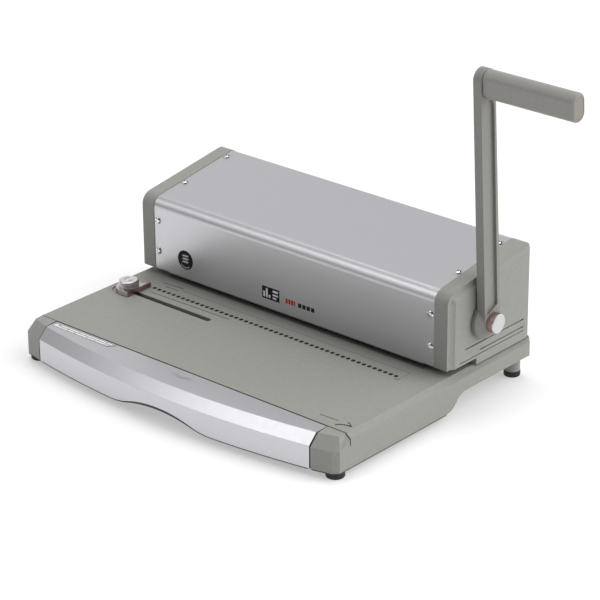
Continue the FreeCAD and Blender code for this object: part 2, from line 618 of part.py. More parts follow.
def end_cap(label, sign):
    """Moulded end of the head: a hollow box with a tongue inside the cover. Its outer face
    carries a raised panel with sloping edges and three vent grooves."""
    body = new_body(label)
    inner_x, outer_x = "D.cover_half + 0.15", "D.head_width / 2"
    root_x = "D.frame_half + D.frame_thick + 0.6"
    side, away = mirrored_x, sign < 0
    outline = head_outline("(-D.cap_proud)", "D.cap_bottom", DECK)
    rear = outline[-1][0]
    stepped = outline[:-1] + [(rear, DECK + " + 1.8"), (rear + " - 1.8", DECK),
                              ("D.cap_step", DECK), ("D.cap_step", "D.cap_bottom")]
    pad(body, outline_on(body, "YZ_Plane", side(inner_x, sign), stepped),
        "D.head_width / 2 - D.cover_half - 0.15", away)
    tongue = head_outline("(D.sheet + 0.2)", "D.cap_bottom + 3", DECK + " + 3")
    pad(body, outline_on(body, "YZ_Plane", side(root_x, sign), tongue),
        "%s - (%s) + 1" % (inner_x, root_x), away)
    inside = head_outline("(D.cap_wall + 2)", "D.cap_bottom + D.cap_wall + 2", "D.cap_bottom + 4.6")
    pocket(body, outline_on(body, "YZ_Plane", side(root_x, sign), inside),
           "%s - D.cap_wall - 2 - (%s)" % (outer_x, root_x), not away)
    drill_for_screws(body, [side("D.screw_x", sign)], "D.thread_radius + D.fit")
    foot = outline_on(body, "YZ_Plane", side(outer_x, sign), panel_outline("3.4", "3.6", "1.2", "3.6"))
    face_x = outer_x + " + D.panel_rise"
    crown = outline_on(body, "YZ_Plane", side(face_x, sign), panel_outline("7.2", "6.9", "4.2", "1.6"))
    panel = body.newObject("PartDesign::AdditiveLoft", "panel")
    panel.Profile = foot
    panel.Sections = [crown]
    panel.Ruled = True
    doc.recompute()
    for z, start, half_width in VENTS:
        vent = rectangle(start, "%s - %s" % (z, half_width), "129", "%s + %s" % (z, half_width))
        pocket(body, outline_on(body, "YZ_Plane", side(face_x, sign), vent), "1.3", away)
    if sign > 0:
        bore = [("D.pivot_y", "D.pivot_z", "D.shaft_radius + 2")]
        pocket(body, circles_on(body, "YZ_Plane", face_x, bore), "12 + D.panel_rise")
    return register(body, label)


def pan_screw(name, x, y, z, axis, into):
    """A pan-head screw whose head stands on a surface point; into is +1 or -1 along the axis."""
    along = {"y": FreeCAD.Vector(0, 1, 0), "z": FreeCAD.Vector(0, 0, 1)}[axis] * into
    obj = doc.addObject("Part::Revolution", name)
    profile = doc.addObject("Part::Polygon", name + "_profile")
    radius = "D.screw_head"
    height = 1.7
    thread = value("D.thread_radius")
    corners = [(0, 5.0), (thread, 5.0), (thread, 0), (value(radius), 0), (value(radius), -0.7),
               (value(radius) - 0.8, -height + 0.3), (value(radius) - 1.9, -height), (0, -height)]
    profile.Nodes = [FreeCAD.Vector(r, 0, h) for r, h in corners]
    profile.Close = True
    obj.Source = profile
    obj.Axis = FreeCAD.Vector(0, 0, 1)
    obj.Angle = 360
    obj.Solid = True
    obj.Placement = FreeCAD.Placement(FreeCAD.Vector(), FreeCAD.Rotation(FreeCAD.Vector(0, 0, 1), along))
    return bind_place(obj, x, y, z)


def cover_screws():
    """Bright screws along both ends of the cover, on its front, top and rear."""
    screws = []
    for sign in ("-", ""):
        x = sign + "D.screw_x"
        for z in SCREW_HEIGHTS:
            screws.append(pan_screw("front_screw_%d" % len(screws), x, "D.head_front", z, "y", 1))
            screws.append(pan_screw("rear_screw_%d" % len(screws), x, "D.head_rear", z, "y", -1))
        for y in SCREW_DEPTHS:
            top = "D.top_front + (%s - D.head_front) * tan(%s) + 0.5" % (y, SLOPE)
            screws.append(pan_screw("top_screw_%d" % len(screws), x, y, top, "z", -1))
    return register(group("cover_screw_group", screws), "cover_screws")


# ---------------------------------------------------------------- frame and punching tools

def frame_plate(label, sign):
    """Upright plate at one end of the punch, with a foot flange and the shaft bushing's bore."""
    body = new_body(label)
    inside, away = mirrored_x("D.frame_half", sign), sign < 0
    outline = [("42", DECK), ("134", DECK), ("134", "D.top_rear - 8"), ("40", "D.top_front - 5"),
               ("D.head_front + 3.6", "98"), ("D.head_front + 3.6", "60"), ("42", "60")]
    pad(body, outline_on(body, "YZ_Plane", inside, outline), "D.frame_thick", away)
    toe = mirrored_x("D.frame_half - 12.4", sign)
    flange = rectangle(toe, "60", mirrored_x("D.frame_half + 1", sign), "130")
    pad(body, outline_on(body, "XY_Plane", DECK, flange), "3")
    bore = [("D.pivot_y", "D.pivot_z", "D.shaft_radius + 2")]
    pocket(body, circles_on(body, "YZ_Plane", mirrored_x("D.frame_half - 1", sign), bore), "8", not away)
    bolts = [(mirrored_x("D.foot_bolt_x", sign), y, "D.bolt_radius + 0.1") for y in FOOT_BOLTS_Y]
    pocket(body, circles_on(body, "XY_Plane", DECK + " + 3", bolts), "3")
    return register(body, label)


def frame_fasteners():
    """Bolts through the foot flanges and the deck, with hexagon nuts below."""
    bolts, nuts = [], []
    for sign in ("-", ""):
        for y in FOOT_BOLTS_Y:
            name = "frame_bolt_%d" % len(bolts)
            x = sign + "D.foot_bolt_x"
            head = rod(name + "_head", "4", "3", x, y, DECK + " + 3")
            shank = rod(name + "_shank", "D.bolt_radius", "14", x, y, DECK + " - 11")
            bolts.append(joined(name, [head, shank]))
            prism = doc.addObject("Part::Prism", name + "_hexagon")
            prism.Polygon = 6
            prism.Circumradius = 4.6
            prism.Height = 3.5
            bind_place(prism, x, y, UNDER_DECK + " - 3.5")
            bore = rod(name + "_bore", "D.bolt_radius + D.fit", "6", x, y, UNDER_DECK + " - 5")
            nuts.append(cut_from("frame_nut_%d" % len(nuts), prism, [bore]))
    register(group("frame_bolt_group", bolts), "frame_bolts")
    register(group("frame_nut_group", nuts), "frame_nuts")


def pin_holes(radius):
    """Circles of the punch row, evenly spaced about the machine's middle."""
    count = int(value("D.hole_count"))
    return [("%g * D.hole_pitch" % (i - (count - 1) / 2), "D.pin_row", radius) for i in range(count)]


def rod_holes(radius):
    return [(sign + "D.rod_x", "D.rod_y", radius) for sign in ("-", "")]


def punch_slab(label, half, bottom, height, holes):
    """A flat bar across the punch with the pin row and the two guide rod bores."""
    body = new_body(label)
    outline = rectangle("-(%s)" % half, "D.punch_front", half, "D.bar_rear")
    pad(body, outline_on(body, "XY_Plane", bottom, outline), height)
    pocket(body, circles_on(body, "XY_Plane", "%s + %s" % (bottom, height), holes), height)
    return body


def die_plate():
    """Die flush with the deck; its lower flange is held under the deck."""
    half = "D.frame_half - 0.7"
    body = new_body("die_plate")
    flange = rectangle("-(%s + 4)" % half, "D.punch_front - 3", half + " + 4", "D.bar_rear + 3")
    pad(body, outline_on(body, "XY_Plane", DECK + " - D.die_thick", flange), "D.die_thick - D.wall")
    block_outline = rectangle("-(%s)" % half, "D.punch_front", half, "D.bar_rear")
    pad(body, outline_on(body, "XY_Plane", UNDER_DECK, block_outline), "D.wall")
    holes = pin_holes("D.pin_radius + D.fit") + rod_holes("D.rod_radius + D.fit")
    pocket(body, circles_on(body, "XY_Plane", DECK, holes), "D.die_thick")
    return register(body, "die_plate")


def paper_stop():
    """Bar behind the punch row that the sheets' edges rest against."""
    stop = block("paper_stop_bar", "-(D.frame_half - 0.9)", "D.pin_row + 5", DECK,
                 "D.frame_half - 0.9", "D.pin_row + 8", DECK + " + D.paper_gap")
    return register(stop, "paper_stop")


def stripper_plate():
    """Plate over the paper gap that guides the pins and holds the sheets down."""
    holes = pin_holes("D.pin_radius + D.fit") + rod_holes("D.rod_radius + D.fit")
    body = punch_slab("stripper_plate", "D.frame_half - 0.7", DECK + " + D.paper_gap",
                      "D.guide_thick", holes)
    return register(body, "stripper_plate")


def top_beam():
    """Cross beam that ties the frame plates and holds the guide rods."""
    body = new_body("top_beam")
    outline = rectangle("-(D.frame_half - 0.3)", "D.rod_y - 6", "D.frame_half - 0.3", "D.rod_y + 10")
    pad(body, outline_on(body, "XY_Plane", "D.beam_bottom", outline), "D.beam_top - D.beam_bottom")
    pocket(body, circles_on(body, "XY_Plane", "D.beam_top", rod_holes("D.rod_radius + D.fit")),
           "D.beam_top - D.beam_bottom")
    return register(body, "top_beam")


def guide_posts():
    """Round rods from the die to the top beam that the pressure bar slides on."""
    bottom = DECK + " - D.die_thick + 1"
    posts = [rod("guide_post_" + side, "D.rod_radius", "D.beam_top - (%s)" % bottom,
                 sign + "D.rod_x", "D.rod_y", bottom) for side, sign in (("left", "-"), ("right", ""))]
    return register(group("guide_post_group", posts), "guide_posts")


def ring(name, outer, bore, length, x, y, z):
    """A ring along +X."""
    body = rod(name + "_outer", outer, length, x, y, z, "x")
    hole = rod(name + "_bore", bore, "(%s) + 2" % length, "(%s) - 1" % x, y, z, "x")
    return cut_from(name, body, [hole])


def shaft_bushings():
    """Flanged sleeves in the frame plates that carry the lever's shaft."""
    bushings = []
    for side, sign in (("left", -1), ("right", 1)):
        sleeve_start = "D.frame_half" if sign > 0 else "-D.frame_half - 5"
        flange_start = "D.frame_half - 2" if sign > 0 else "-D.frame_half"
        bore = "D.shaft_radius + D.fit"
        sleeve = ring("sleeve_" + side, "D.shaft_radius + 1.95", bore, "5", sleeve_start,
                      "D.pivot_y", "D.pivot_z")
        flange = ring("sleeve_flange_" + side, "D.shaft_radius + 4", bore, "2", flange_start,
                      "D.pivot_y", "D.pivot_z")
        bushings.append(joined("bushing_" + side, [sleeve, flange]))
    return register(group("bushing_group", bushings), "shaft_bushings")


# ---------------------------------------------------------------- punch carriage

def pressure_bar():
    """Heavy bar that pushes the pins; bored for the guide rods and recessed for the springs."""
    half = "D.frame_half - 3.4"
    height = "(D.bar_top - D.bar_bottom)"
    body = punch_slab("pressure_bar", half, "D.bar_bottom", height, rod_holes("D.rod_radius + D.fit"))
    wells = rod_holes("D.rod_radius + 1.7")
    pocket(body, circles_on(body, "XY_Plane", "D.bar_bottom", wells), "8", reverse=True)
    channel = rectangle("-(%s)" % half, "D.pin_row - 3.1", half, "D.pin_row + 3.1")
    pocket(body, outline_on(body, "XY_Plane", "D.bar_bottom", channel), "2.6", reverse=True)
    return register(body, "pressure_bar")


def pin_holder():
    """Strip under the pressure bar that the headed pins hang in."""
    holes = pin_holes("D.pin_radius + D.fit") + rod_holes("D.rod_radius + 1.7")
    body = punch_slab("pin_holder", "D.frame_half - 3.4", "D.holder_bottom",
                      "D.bar_bottom - D.holder_bottom", holes)
    return register(body, "pin_holder")


def punch_pins():
    """Headed round pins, one to a hole, with their tips just inside the stripper plate."""
    pins = []
    tip = DECK + " + 5"
    for x, y, _ in pin_holes("D.pin_radius"):
        name = "pin_%d" % len(pins)
        shank = rod(name + "_shank", "D.pin_radius", "D.bar_bottom - (%s) + 0.5" % tip, x, y, tip)
        head = rod(name + "_head", "D.pin_radius + 0.8", "2.5", x, y, "D.bar_bottom")
        pins.append(joined(name, [shank, head]))
    return register(group("pin_group", pins), "punch_pins")


def rack(label, sign):
    """Toothed strip on the back of the pressure bar that its pinion drives down."""
    pitch = "(pi * D.gear_module)"
    line = "D.pivot_y - D.teeth * D.gear_module / 2"
    root, tip = line + " - 1.55", line + " + 1"
    bottom, top = "70", "99"
    points = [("D.bar_rear", bottom), (root, bottom)]
    for k in range(-2, 4):
        middle = "D.pivot_z + %g * %s" % (k + 0.5, pitch)
        points += [(root, middle + " - 1.64"), (tip, middle + " - 0.71"),
                   (tip, middle + " + 0.71"), (root, middle + " + 1.64")]
    points += [(root, top), ("D.bar_rear", top)]
    body = new_body(label)
    pad(body, outline_on(body, "YZ_Plane", mirrored_x("D.gear_x", sign), points),
        "D.gear_width", sign < 0)
    return register(body, label)


def return_springs():
    """Compression springs round the guide rods that lift the carriage again."""
    springs = []
    bottom = DECK + " + D.paper_gap + D.guide_thick + D.spring_wire / 2 + 0.1"
    length = "D.bar_bottom + 8 - D.spring_wire / 2 - 0.1 - (%s)" % bottom
    for side, sign in (("left", "-"), ("right", "")):
        coil = doc.addObject("Part::Helix", "coil_" + side)
        coil.setExpression("Radius", "D.rod_radius + 0.2 + D.spring_wire / 2")
        coil.setExpression("Height", length)
        coil.setExpression("Pitch", "(%s) / D.spring_turns" % length)
        wire = doc.addObject("Part::Circle", "wire_" + side)
        wire.setExpression("Radius", "D.spring_wire / 2")
        wire.Placement = FreeCAD.Placement(FreeCAD.Vector(), FreeCAD.Rotation(FreeCAD.Vector(1, 0, 0), 90))
        wire.setExpression(".Placement.Base.x", "D.rod_radius + 0.2 + D.spring_wire / 2")
        spring = doc.addObject("Part::Sweep", "spring_" + side)
        spring.Sections = [wire]
        spring.Spine = (coil, [])
        spring.Solid = True
        spring.Frenet = True
        bind_place(spring, sign + "D.rod_x", "D.rod_y", bottom)
        springs.append(spring)
    return register(group("spring_group", springs), "return_springs")


# ---------------------------------------------------------------- lever

PIVOT = ("0", "D.pivot_y", "D.pivot_z")
LEAN = "D.lever_lean"


def swung(body, label):
    """Register a lever part drawn about the pivot, with the arm along +Z before it leans."""
    return register(body, label, PIVOT, LEAN)


def lever_arm():
    """Flat arm with round ends and a long channel in its outer face."""
    body = new_body("lever_arm")
    low, top = "D.arm_low_half", "D.arm_top_half"
    reach = "D.lever_length + 3.1"
    outline = [("-" + top, reach, top, 1), ("-" + low, "0"), ("0", "-" + low, low, 1),
               (low, "0", low, 1), (top, reach), ("0", "%s + %s" % (reach, top), top, 1)]
    pad(body, outline_on(body, "YZ_Plane", "D.arm_inner", outline), "D.arm_outer - D.arm_inner")
    boss = [("0", "0", "D.hub_radius")]
    pad(body, circles_on(body, "YZ_Plane", "D.arm_inner", boss), "2.2")
    cone = body.newObject("PartDesign::AdditiveLoft", "cone")
    cone.Profile = circles_on(body, "YZ_Plane", "D.arm_inner + 2.2", boss)
    cone.Sections = [circles_on(body, "YZ_Plane", "D.arm_outer - 0.6", [("0", "0", "D.arm_low_half + 0.8")])]
    doc.recompute()
    crown = "(D.arm_top_half - 2.6)"
    shoulder = "D.lever_length - 22"
    channel = [("-" + crown, shoulder, crown, 1), ("-7.2", "8.5"), ("6.9", "14.5"), (crown, shoulder),
               ("0", "%s + %s" % (shoulder, crown), crown, 1)]
    pocket(body, outline_on(body, "YZ_Plane", "D.arm_outer", channel), "2.6")
    shaft = [("0", "0", "D.shaft_radius + 0.02")]
    pocket(body, circles_on(body, "YZ_Plane", "D.arm_outer", shaft), "D.arm_outer - D.arm_inner")
    core = [("0", "D.lever_length", "D.core_radius + 0.05")]
    pocket(body, circles_on(body, "YZ_Plane", "D.arm_outer", core), "D.arm_outer - D.arm_inner")
    return swung(body, "lever_arm")


def turned_along_x(name, rings):
    """A body made of stacked discs: each ring is (start x, length, radius)."""
    body = new_body(name)
    for start, length, radius in rings:
        pad(body, circles_on(body, "YZ_Plane", start, [("0", "0", radius)]), length)
    return body


def lever_hub():
    """Round boss between the arm and the head's end."""
    start = "D.head_width / 2 + D.panel_rise + 0.7"
    length = "D.arm_inner - (%s)" % start
    body = turned_along_x("lever_hub", [(start, length, "D.hub_radius")])
    bore = [("0", "0", "D.shaft_radius + 0.02")]
    pocket(body, circles_on(body, "YZ_Plane", start, bore), length, reverse=True)
    return swung(body, "lever_hub")


def round_rim(body, face_x, size):
    """Fillet the circular edge that lies in the plane of a given x."""
    base, names = body.Tip, []
    for number, edge in enumerate(base.Shape.Edges, start=1):
        box = edge.BoundBox
        if near(box.XMin, face_x) and near(box.XMax, face_x):
            names.append("Edge%d" % number)
    feature = body.newObject("PartDesign::Fillet", "rim")
    feature.Base = (base, names)
    feature.Radius = size
    doc.recompute()
    return feature


def pivot_cap():
    """Bright cap over the lever's bolt."""
    start, face = "D.arm_outer + 0.2", "D.pivot_cap_face"
    body = turned_along_x("pivot_cap", [(start, "%s - (%s)" % (face, start), "D.pivot_cap_radius")])
    round_rim(body, face, 1.2)
    hollow = [("0", "0", "7")]
    pocket(body, circles_on(body, "YZ_Plane", start, hollow), "4.4", reverse=True)
    return swung(body, "pivot_cap")


def grip_outline(shrink):
    """Upright stadium section of the grip, centred on its axis."""
    half = "(D.grip_depth / 2 - %s)" % shrink
    flat = "(D.grip_height / 2 - D.grip_depth / 2)"
    up, down = "D.lever_length + " + flat, "D.lever_length - " + flat
    return [("-" + half, down), ("0", "%s - %s" % (down, half), half, 1), (half, down, half, 1),
            (half, up), ("0", "%s + %s" % (up, half), half, 1), ("-" + half, up, half, 1)]


def lever_grip():
    """Handle sleeve along the machine's width with a rounded end, bored for its core rod and
    recessed for its end plug."""
    body = new_body("lever_grip")
    start, end = "D.arm_outer + 0.3", "D.grip_end"
    pad(body, outline_on(body, "YZ_Plane", start, grip_outline("0")), "%s - (%s)" % (end, start))
    round_rim(body, end, 2.3)
    pocket(body, outline_on(body, "YZ_Plane", end, grip_outline("2.5")), "D.grip_cap")
    core = [("0", "D.lever_length", "D.core_radius + 0.05")]
    pocket(body, circles_on(body, "YZ_Plane", end, core), "%s - (%s)" % (end, start))
    return swung(body, "lever_grip")


def grip_end_cap():
    """Plug set into the grip's free end."""
    body = new_body("grip_end_cap")
    floor = "D.grip_end - D.grip_cap"
    pad(body, outline_on(body, "YZ_Plane", floor, grip_outline("2.55")), "D.grip_cap - 0.15")
    round_rim(body, "D.grip_end - 0.15", 0.5)
    return swung(body, "grip_end_cap")


def grip_core():
    """Steel rod from the arm through the grip."""
    body = new_body("grip_core")
    start, end = "D.arm_inner + 0.5", "D.grip_end - D.grip_cap - 0.5"
    core = [("0", "D.lever_length", "D.core_radius")]
    pad(body, circles_on(body, "YZ_Plane", start, core), "%s - (%s)" % (end, start))
    return swung(body, "grip_core")


def drive_shaft():
    """Shaft through both frame plates; the lever turns it and it turns the pinions."""
    start, end = "-(D.frame_half + 5.6)", "D.arm_outer - 0.4"
    shaft = rod("shaft_blank", "D.shaft_radius", "%s - (%s)" % (end, start), start, "0", "0", "x")
    tapped = rod("shaft_bore", "3.05", "17", end + " - 16", "0", "0", "x")
    return swung(cut_from("drive_shaft_part", shaft, [tapped]), "drive_shaft")


def lever_bolt():
    """Bolt in the shaft's end, under the pivot cap."""
    face = "D.arm_outer + 0.2"
    head = rod("lever_bolt_head", "6", "3.6", face, "0", "0", "x")
    shank = rod("lever_bolt_shank", "3", "14", face + " - 13.5", "0", "0", "x")
    return swung(joined("lever_bolt_part", [head, shank]), "lever_bolt")


def shaft_collars():
    """Rings that stop the shaft from sliding sideways."""
    rings = []
    for side, start in (("left", "-(D.frame_half - 2.3)"), ("right", "D.frame_half - 9.3")):
        rings.append(ring("collar_" + side, "D.shaft_radius + 4", "D.shaft_radius + 0.02", "7",
                          start, "0", "0"))
    return swung(group("collar_group", rings), "shaft_collars")


def pinion(label, sign):
    """Spur pinion keyed to the shaft. Its flanks are involutes, slightly thinned so that it runs
    free in the rack, and one tooth points at the rack when the lever is up."""
    teeth, module = int(value("D.teeth")), value("D.gear_module")
    pitch_radius = teeth * module / 2
    base = pitch_radius * math.cos(math.radians(20))
    tip, root = pitch_radius + 1.2, pitch_radius - 1.35
    half_tooth = (math.pi * module / 2 - 0.2) / 2 / pitch_radius

    def involute(radius):
        if radius <= base:
            return 0.0
        ratio = math.sqrt((radius / base) ** 2 - 1)
        return ratio - math.atan(ratio)

    profile = [(root, half_tooth + involute(pitch_radius))]
    for step in range(6):
        radius = base + (tip - base) * step / 5
        profile.append((radius, half_tooth + involute(pitch_radius) - involute(radius)))
    corners = []
    for tooth in range(teeth):
        centre = math.pi + 2 * math.pi * tooth / teeth
        flank = [(r, centre - a) for r, a in profile] + [(r, centre + a) for r, a in reversed(profile)]
        corners += [FreeCAD.Vector(0, r * math.cos(a), r * math.sin(a)) for r, a in flank]
    wheel = Part.Face(Part.makePolygon(corners + [corners[0]]))
    wheel = wheel.extrude(FreeCAD.Vector(value("D.gear_width"), 0, 0))
    bore = Part.makeCylinder(value("D.shaft_radius + 0.02"), value("D.gear_width"),
                             FreeCAD.Vector(), FreeCAD.Vector(1, 0, 0))
    part = doc.addObject("Part::Feature", label + "_part")
    part.Shape = wheel.cut(bore)
    start = "D.gear_x" if sign > 0 else "-(D.gear_x + D.gear_width)"
    return register(part, label, (start, "D.pivot_y", "D.pivot_z"))


# ---------------------------------------------------------------- edge guide

def stop_plate():
    """Bright plate on the deck: its straight edge squares the sheets, its round end is clamped
    under the knob."""
    body = new_body("stop_plate")
    tab, depth = "12.1", "D.slot_y"
    neck = "D.knob_x"
    outline = [("D.stop_x", "D.stop_front"), ("D.stop_x", "D.stop_rear"),
               ("D.stop_x - 4.5", "D.stop_rear"),
               ("D.stop_x - 4.5", "%s + %s" % (depth, tab)),
               (neck, "%s + %s" % (depth, tab)),
               ("%s - %s" % (neck, tab), depth, tab, 1), (neck, "%s - %s" % (depth, tab), tab, 1)]
    pad(body, outline_on(body, "XY_Plane", DECK + " + 0.02", outline), "D.stop_thick")
    hole = [("D.knob_x", "D.slot_y", "D.stud_radius + 0.1")]
    pocket(body, circles_on(body, "XY_Plane", DECK + " + 0.02 + D.stop_thick", hole), "D.stop_thick")
    return register(body, "stop_plate")


def guide_slider():
    """Bar under the deck that the knob pulls against its underside."""
    body = new_body("guide_slider")
    outline = rectangle("D.knob_x - 9", "D.slot_y - 4.5", "D.knob_x + 9", "D.slot_y + 4.5")
    pad(body, outline_on(body, "XY_Plane", UNDER_DECK + " - 3.1", outline), "3.05")
    hole = [("D.knob_x", "D.slot_y", "D.stud_radius + D.fit")]
    pocket(body, circles_on(body, "XY_Plane", UNDER_DECK, hole), "4")
    return register(body, "guide_slider")


def guide_stud():
    """Threaded post from the slider up through the slot into the knob."""
    bottom = UNDER_DECK + " - 3.1"
    length = "D.knob_top - 3 - (%s)" % bottom
    stud = rod("guide_stud_rod", "D.stud_radius", length, "D.knob_x", "D.slot_y", bottom)
    return register(stud, "guide_stud")


def guide_knob():
    """Bright clamping knob: a broad skirt, a narrower waist and a flat head with a coin slot."""
    body = new_body("guide_knob")
    bottom = DECK + " + D.stop_thick + 0.1"
    centre = ("D.knob_x", "D.slot_y")
    pad(body, circles_on(body, "XY_Plane", bottom, [centre + ("D.knob_radius",)]), "2.2")
    pad(body, circles_on(body, "XY_Plane", bottom + " + 2", [centre + ("D.knob_radius - 0.9",)]),
        "D.knob_top - (%s) - 2" % bottom)
    slot = rectangle("D.knob_x - 3", "D.slot_y - 0.6", "D.knob_x + 3", "D.slot_y + 0.6")
    pocket(body, outline_on(body, "XY_Plane", "D.knob_top", slot), "0.7")
    bore = [centre + ("D.stud_radius + D.fit",)]
    pocket(body, circles_on(body, "XY_Plane", bottom, bore), "D.knob_top - 2.8 - (%s)" % bottom,
           reverse=True)
    return register(body, "guide_knob")


# ---------------------------------------------------------------- assembly and export

def build():
    base_housing()
    base_plate()
    corner_cap("corner_cap_left", -1)
    corner_cap("corner_cap_right", 1)
    feet()
    base_screws()
    drawer_front()
    chip_tray()
    drawer_screws()
    head_cover()
    cover_screws()
    for side, sign in (("left", -1), ("right", 1)):
        tray_runner("tray_runner_" + side, sign)
        end_cap("end_cap_" + side, sign)
        frame_plate("frame_plate_" + side, sign)
        rack("rack_" + side, sign)
        pinion("pinion_" + side, sign)
    frame_fasteners()
    die_plate()
    paper_stop()
    stripper_plate()
    top_beam()
    guide_posts()
    shaft_bushings()
    pressure_bar()
    pin_holder()
    punch_pins()
    return_springs()
    lever_arm()
    lever_hub()
    pivot_cap()
    lever_grip()
    grip_end_cap()
    grip_core()
    drive_shaft()
    lever_bolt()
    shaft_collars()
    stop_plate()
    guide_slider()
    guide_stud()
    guide_knob()


def check_and_export():
    """Stop on any feature in error and on any empty or invalid sub-part, else write the files."""
    doc.recompute()
    for obj in doc.Objects:
        if "Invalid" in obj.State or "Error" in obj.State:
            raise RuntimeError("%s is in state %s" % (obj.Name, obj.State))
    os.makedirs("parts", exist_ok=True)
    for obj in subparts:
        if obj.Shape.isNull() or not obj.Shape.isValid():
            raise RuntimeError("%s has no valid shape" % obj.Label)
        obj.Shape.exportStep("parts/%s.step" % obj.Label)
    print("%d sub-parts written" % len(subparts))


build()
check_and_export()
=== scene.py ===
import json
import math

import bmesh
import bpy
from mathutils import Euler, Matrix, Vector
from mathutils.bvhtree import BVHTree


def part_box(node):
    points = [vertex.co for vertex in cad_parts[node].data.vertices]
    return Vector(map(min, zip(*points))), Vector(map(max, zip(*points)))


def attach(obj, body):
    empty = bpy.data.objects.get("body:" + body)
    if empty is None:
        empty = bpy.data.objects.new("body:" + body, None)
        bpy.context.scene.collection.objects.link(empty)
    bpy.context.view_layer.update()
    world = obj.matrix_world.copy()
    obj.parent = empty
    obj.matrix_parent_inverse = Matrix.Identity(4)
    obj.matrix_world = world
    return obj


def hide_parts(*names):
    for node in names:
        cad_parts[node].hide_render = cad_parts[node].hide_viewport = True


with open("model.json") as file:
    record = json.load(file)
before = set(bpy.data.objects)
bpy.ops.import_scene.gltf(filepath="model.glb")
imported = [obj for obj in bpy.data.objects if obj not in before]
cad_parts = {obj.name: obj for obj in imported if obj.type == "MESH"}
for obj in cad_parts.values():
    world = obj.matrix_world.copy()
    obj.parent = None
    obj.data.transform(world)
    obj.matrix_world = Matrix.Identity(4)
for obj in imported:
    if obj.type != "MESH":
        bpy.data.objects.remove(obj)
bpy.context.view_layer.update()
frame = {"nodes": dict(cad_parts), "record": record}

MM = 0.001

# The machine's own measures are millimetres from its middle, its row of hole marks and the floor.
COVER_FRONT = 24.4         # the cover's front face, behind the marks
cover_low, cover_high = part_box("head_cover")
MIDDLE_X = (cover_low.x + cover_high.x) / 2
MARKS_Y = cover_low.y - COVER_FRONT * MM


def at(x, y, z):
    """A point of the frame from the machine's own millimetres."""
    return Vector((MIDDLE_X + x * MM, MARKS_Y + y * MM, z * MM))


def own(point):
    """The machine's own millimetres of a point of the frame."""
    return [round(away / MM, 3) for away in (point.x - MIDDLE_X, point.y - MARKS_Y, point.z)]


# The base's half width, the seam behind its corner mouldings, its deck's height and its lower edge.
HALF_WIDTH, SEAM_Y, DECK = own(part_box("corner_cap_right")[1])
CAP_FOOT = own(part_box("corner_cap_right")[0])[2]
# Half widths of the cover, the whole head and the drawer front, and the cover's rear face.
COVER_HALF, COVER_REAR = own(cover_high)[:2]
HEAD_HALF = own(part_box("end_cap_right")[1])[0]
DRAWER_HALF = own(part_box("drawer_front")[1])[0]

TOP_START = 114.0          # height of the cover's top at its front edge
TOP_RISE = 17.0            # how much higher it is at its rear edge
PANEL_RISE = 2.6           # how far the raised panel of a head's end stands out
EDGE_GAP = 0.4             # how far the painted-shade plates and the dark edgings stay inside the sides
INK_HEIGHT = 0.05          # how thick printed ink is


# ---------------------------------------------------------------- materials

def shader(name, **sockets):
    """A Principled material with its uniform values set on the shader's own sockets."""
    mat = bpy.data.materials.new(name)
    mat.use_nodes = True
    bsdf = mat.node_tree.nodes["Principled BSDF"]
    for socket, setting in sockets.items():
        bsdf.inputs[socket.replace("_", " ")].default_value = setting
    return mat, bsdf


def add(mat, kind, **settings):
    """A new node of a material, with its settings."""
    node = mat.node_tree.nodes.new(kind)
    for key, setting in settings.items():
        setattr(node, key, setting)
    return node


def link(mat, source, target):
    """Joins an output to an input."""
    mat.node_tree.links.new(source, target)


def noise(mat, scale, detail=3.0, stretch=(1, 1, 1)):
    """Noise over the piece's own space, so that it moves with the piece."""
    coords = add(mat, "ShaderNodeTexCoord")
    mapping = add(mat, "ShaderNodeMapping")
    mapping.inputs["Scale"].default_value = stretch
    texture = add(mat, "ShaderNodeTexNoise")
    texture.inputs["Scale"].default_value = scale
    texture.inputs["Detail"].default_value = detail
    link(mat, coords.outputs["Object"], mapping.inputs["Vector"])
    link(mat, mapping.outputs["Vector"], texture.inputs["Vector"])
    return texture.outputs["Fac"]


def spread(mat, factor, low, high):
    """Remaps the middle of a noise to a range of values."""
    noise_low, noise_high = 0.3, 0.7
    ranged = add(mat, "ShaderNodeMapRange")
    ranged.inputs["From Min"].default_value = noise_low
    ranged.inputs["From Max"].default_value = noise_high
    ranged.inputs["To Min"].default_value = low
    ranged.inputs["To Max"].default_value = high
    link(mat, factor, ranged.inputs["Value"])
    return ranged.outputs["Result"]


def tinted(mat, bsdf, factor, first, second, positions=(0.35, 0.65)):
    """Colour that goes from one shade to another between two positions of a factor."""
    ramp = add(mat, "ShaderNodeValToRGB")
    for stop, shade, position in zip(ramp.color_ramp.elements, (first, second), positions):
        stop.position = position
        stop.color = (*shade, 1)
    link(mat, factor, ramp.inputs["Fac"])
    link(mat, ramp.outputs["Color"], bsdf.inputs["Base Color"])


def bumped(mat, bsdf, factor, depth):
    """Fine relief of a depth in metres."""
    bump = add(mat, "ShaderNodeBump")
    bump.inputs["Distance"].default_value = depth
    link(mat, factor, bump.inputs["Height"])
    link(mat, bump.outputs["Normal"], bsdf.inputs["Normal"])


def shades(color, swing):
    """A darker and a lighter neighbour of a colour."""
    return ([c * (1 - swing) for c in color], [c * (1 + swing) for c in color])


def moulded(name, color, roughness=0.5, grain=1400.0, depth=0.00004):
    """Spark-textured plastic or paint: fine grain, slow colour drift, uneven gloss."""
    mat, bsdf = shader(name)
    dark, light = shades(color, 0.03)
    tinted(mat, bsdf, noise(mat, scale=260.0, detail=5.0), dark, light)
    fine = noise(mat, grain, detail=2.0)
    link(mat, spread(mat, fine, roughness - 0.05, roughness + 0.07), bsdf.inputs["Roughness"])
    bumped(mat, bsdf, fine, depth)
    return mat


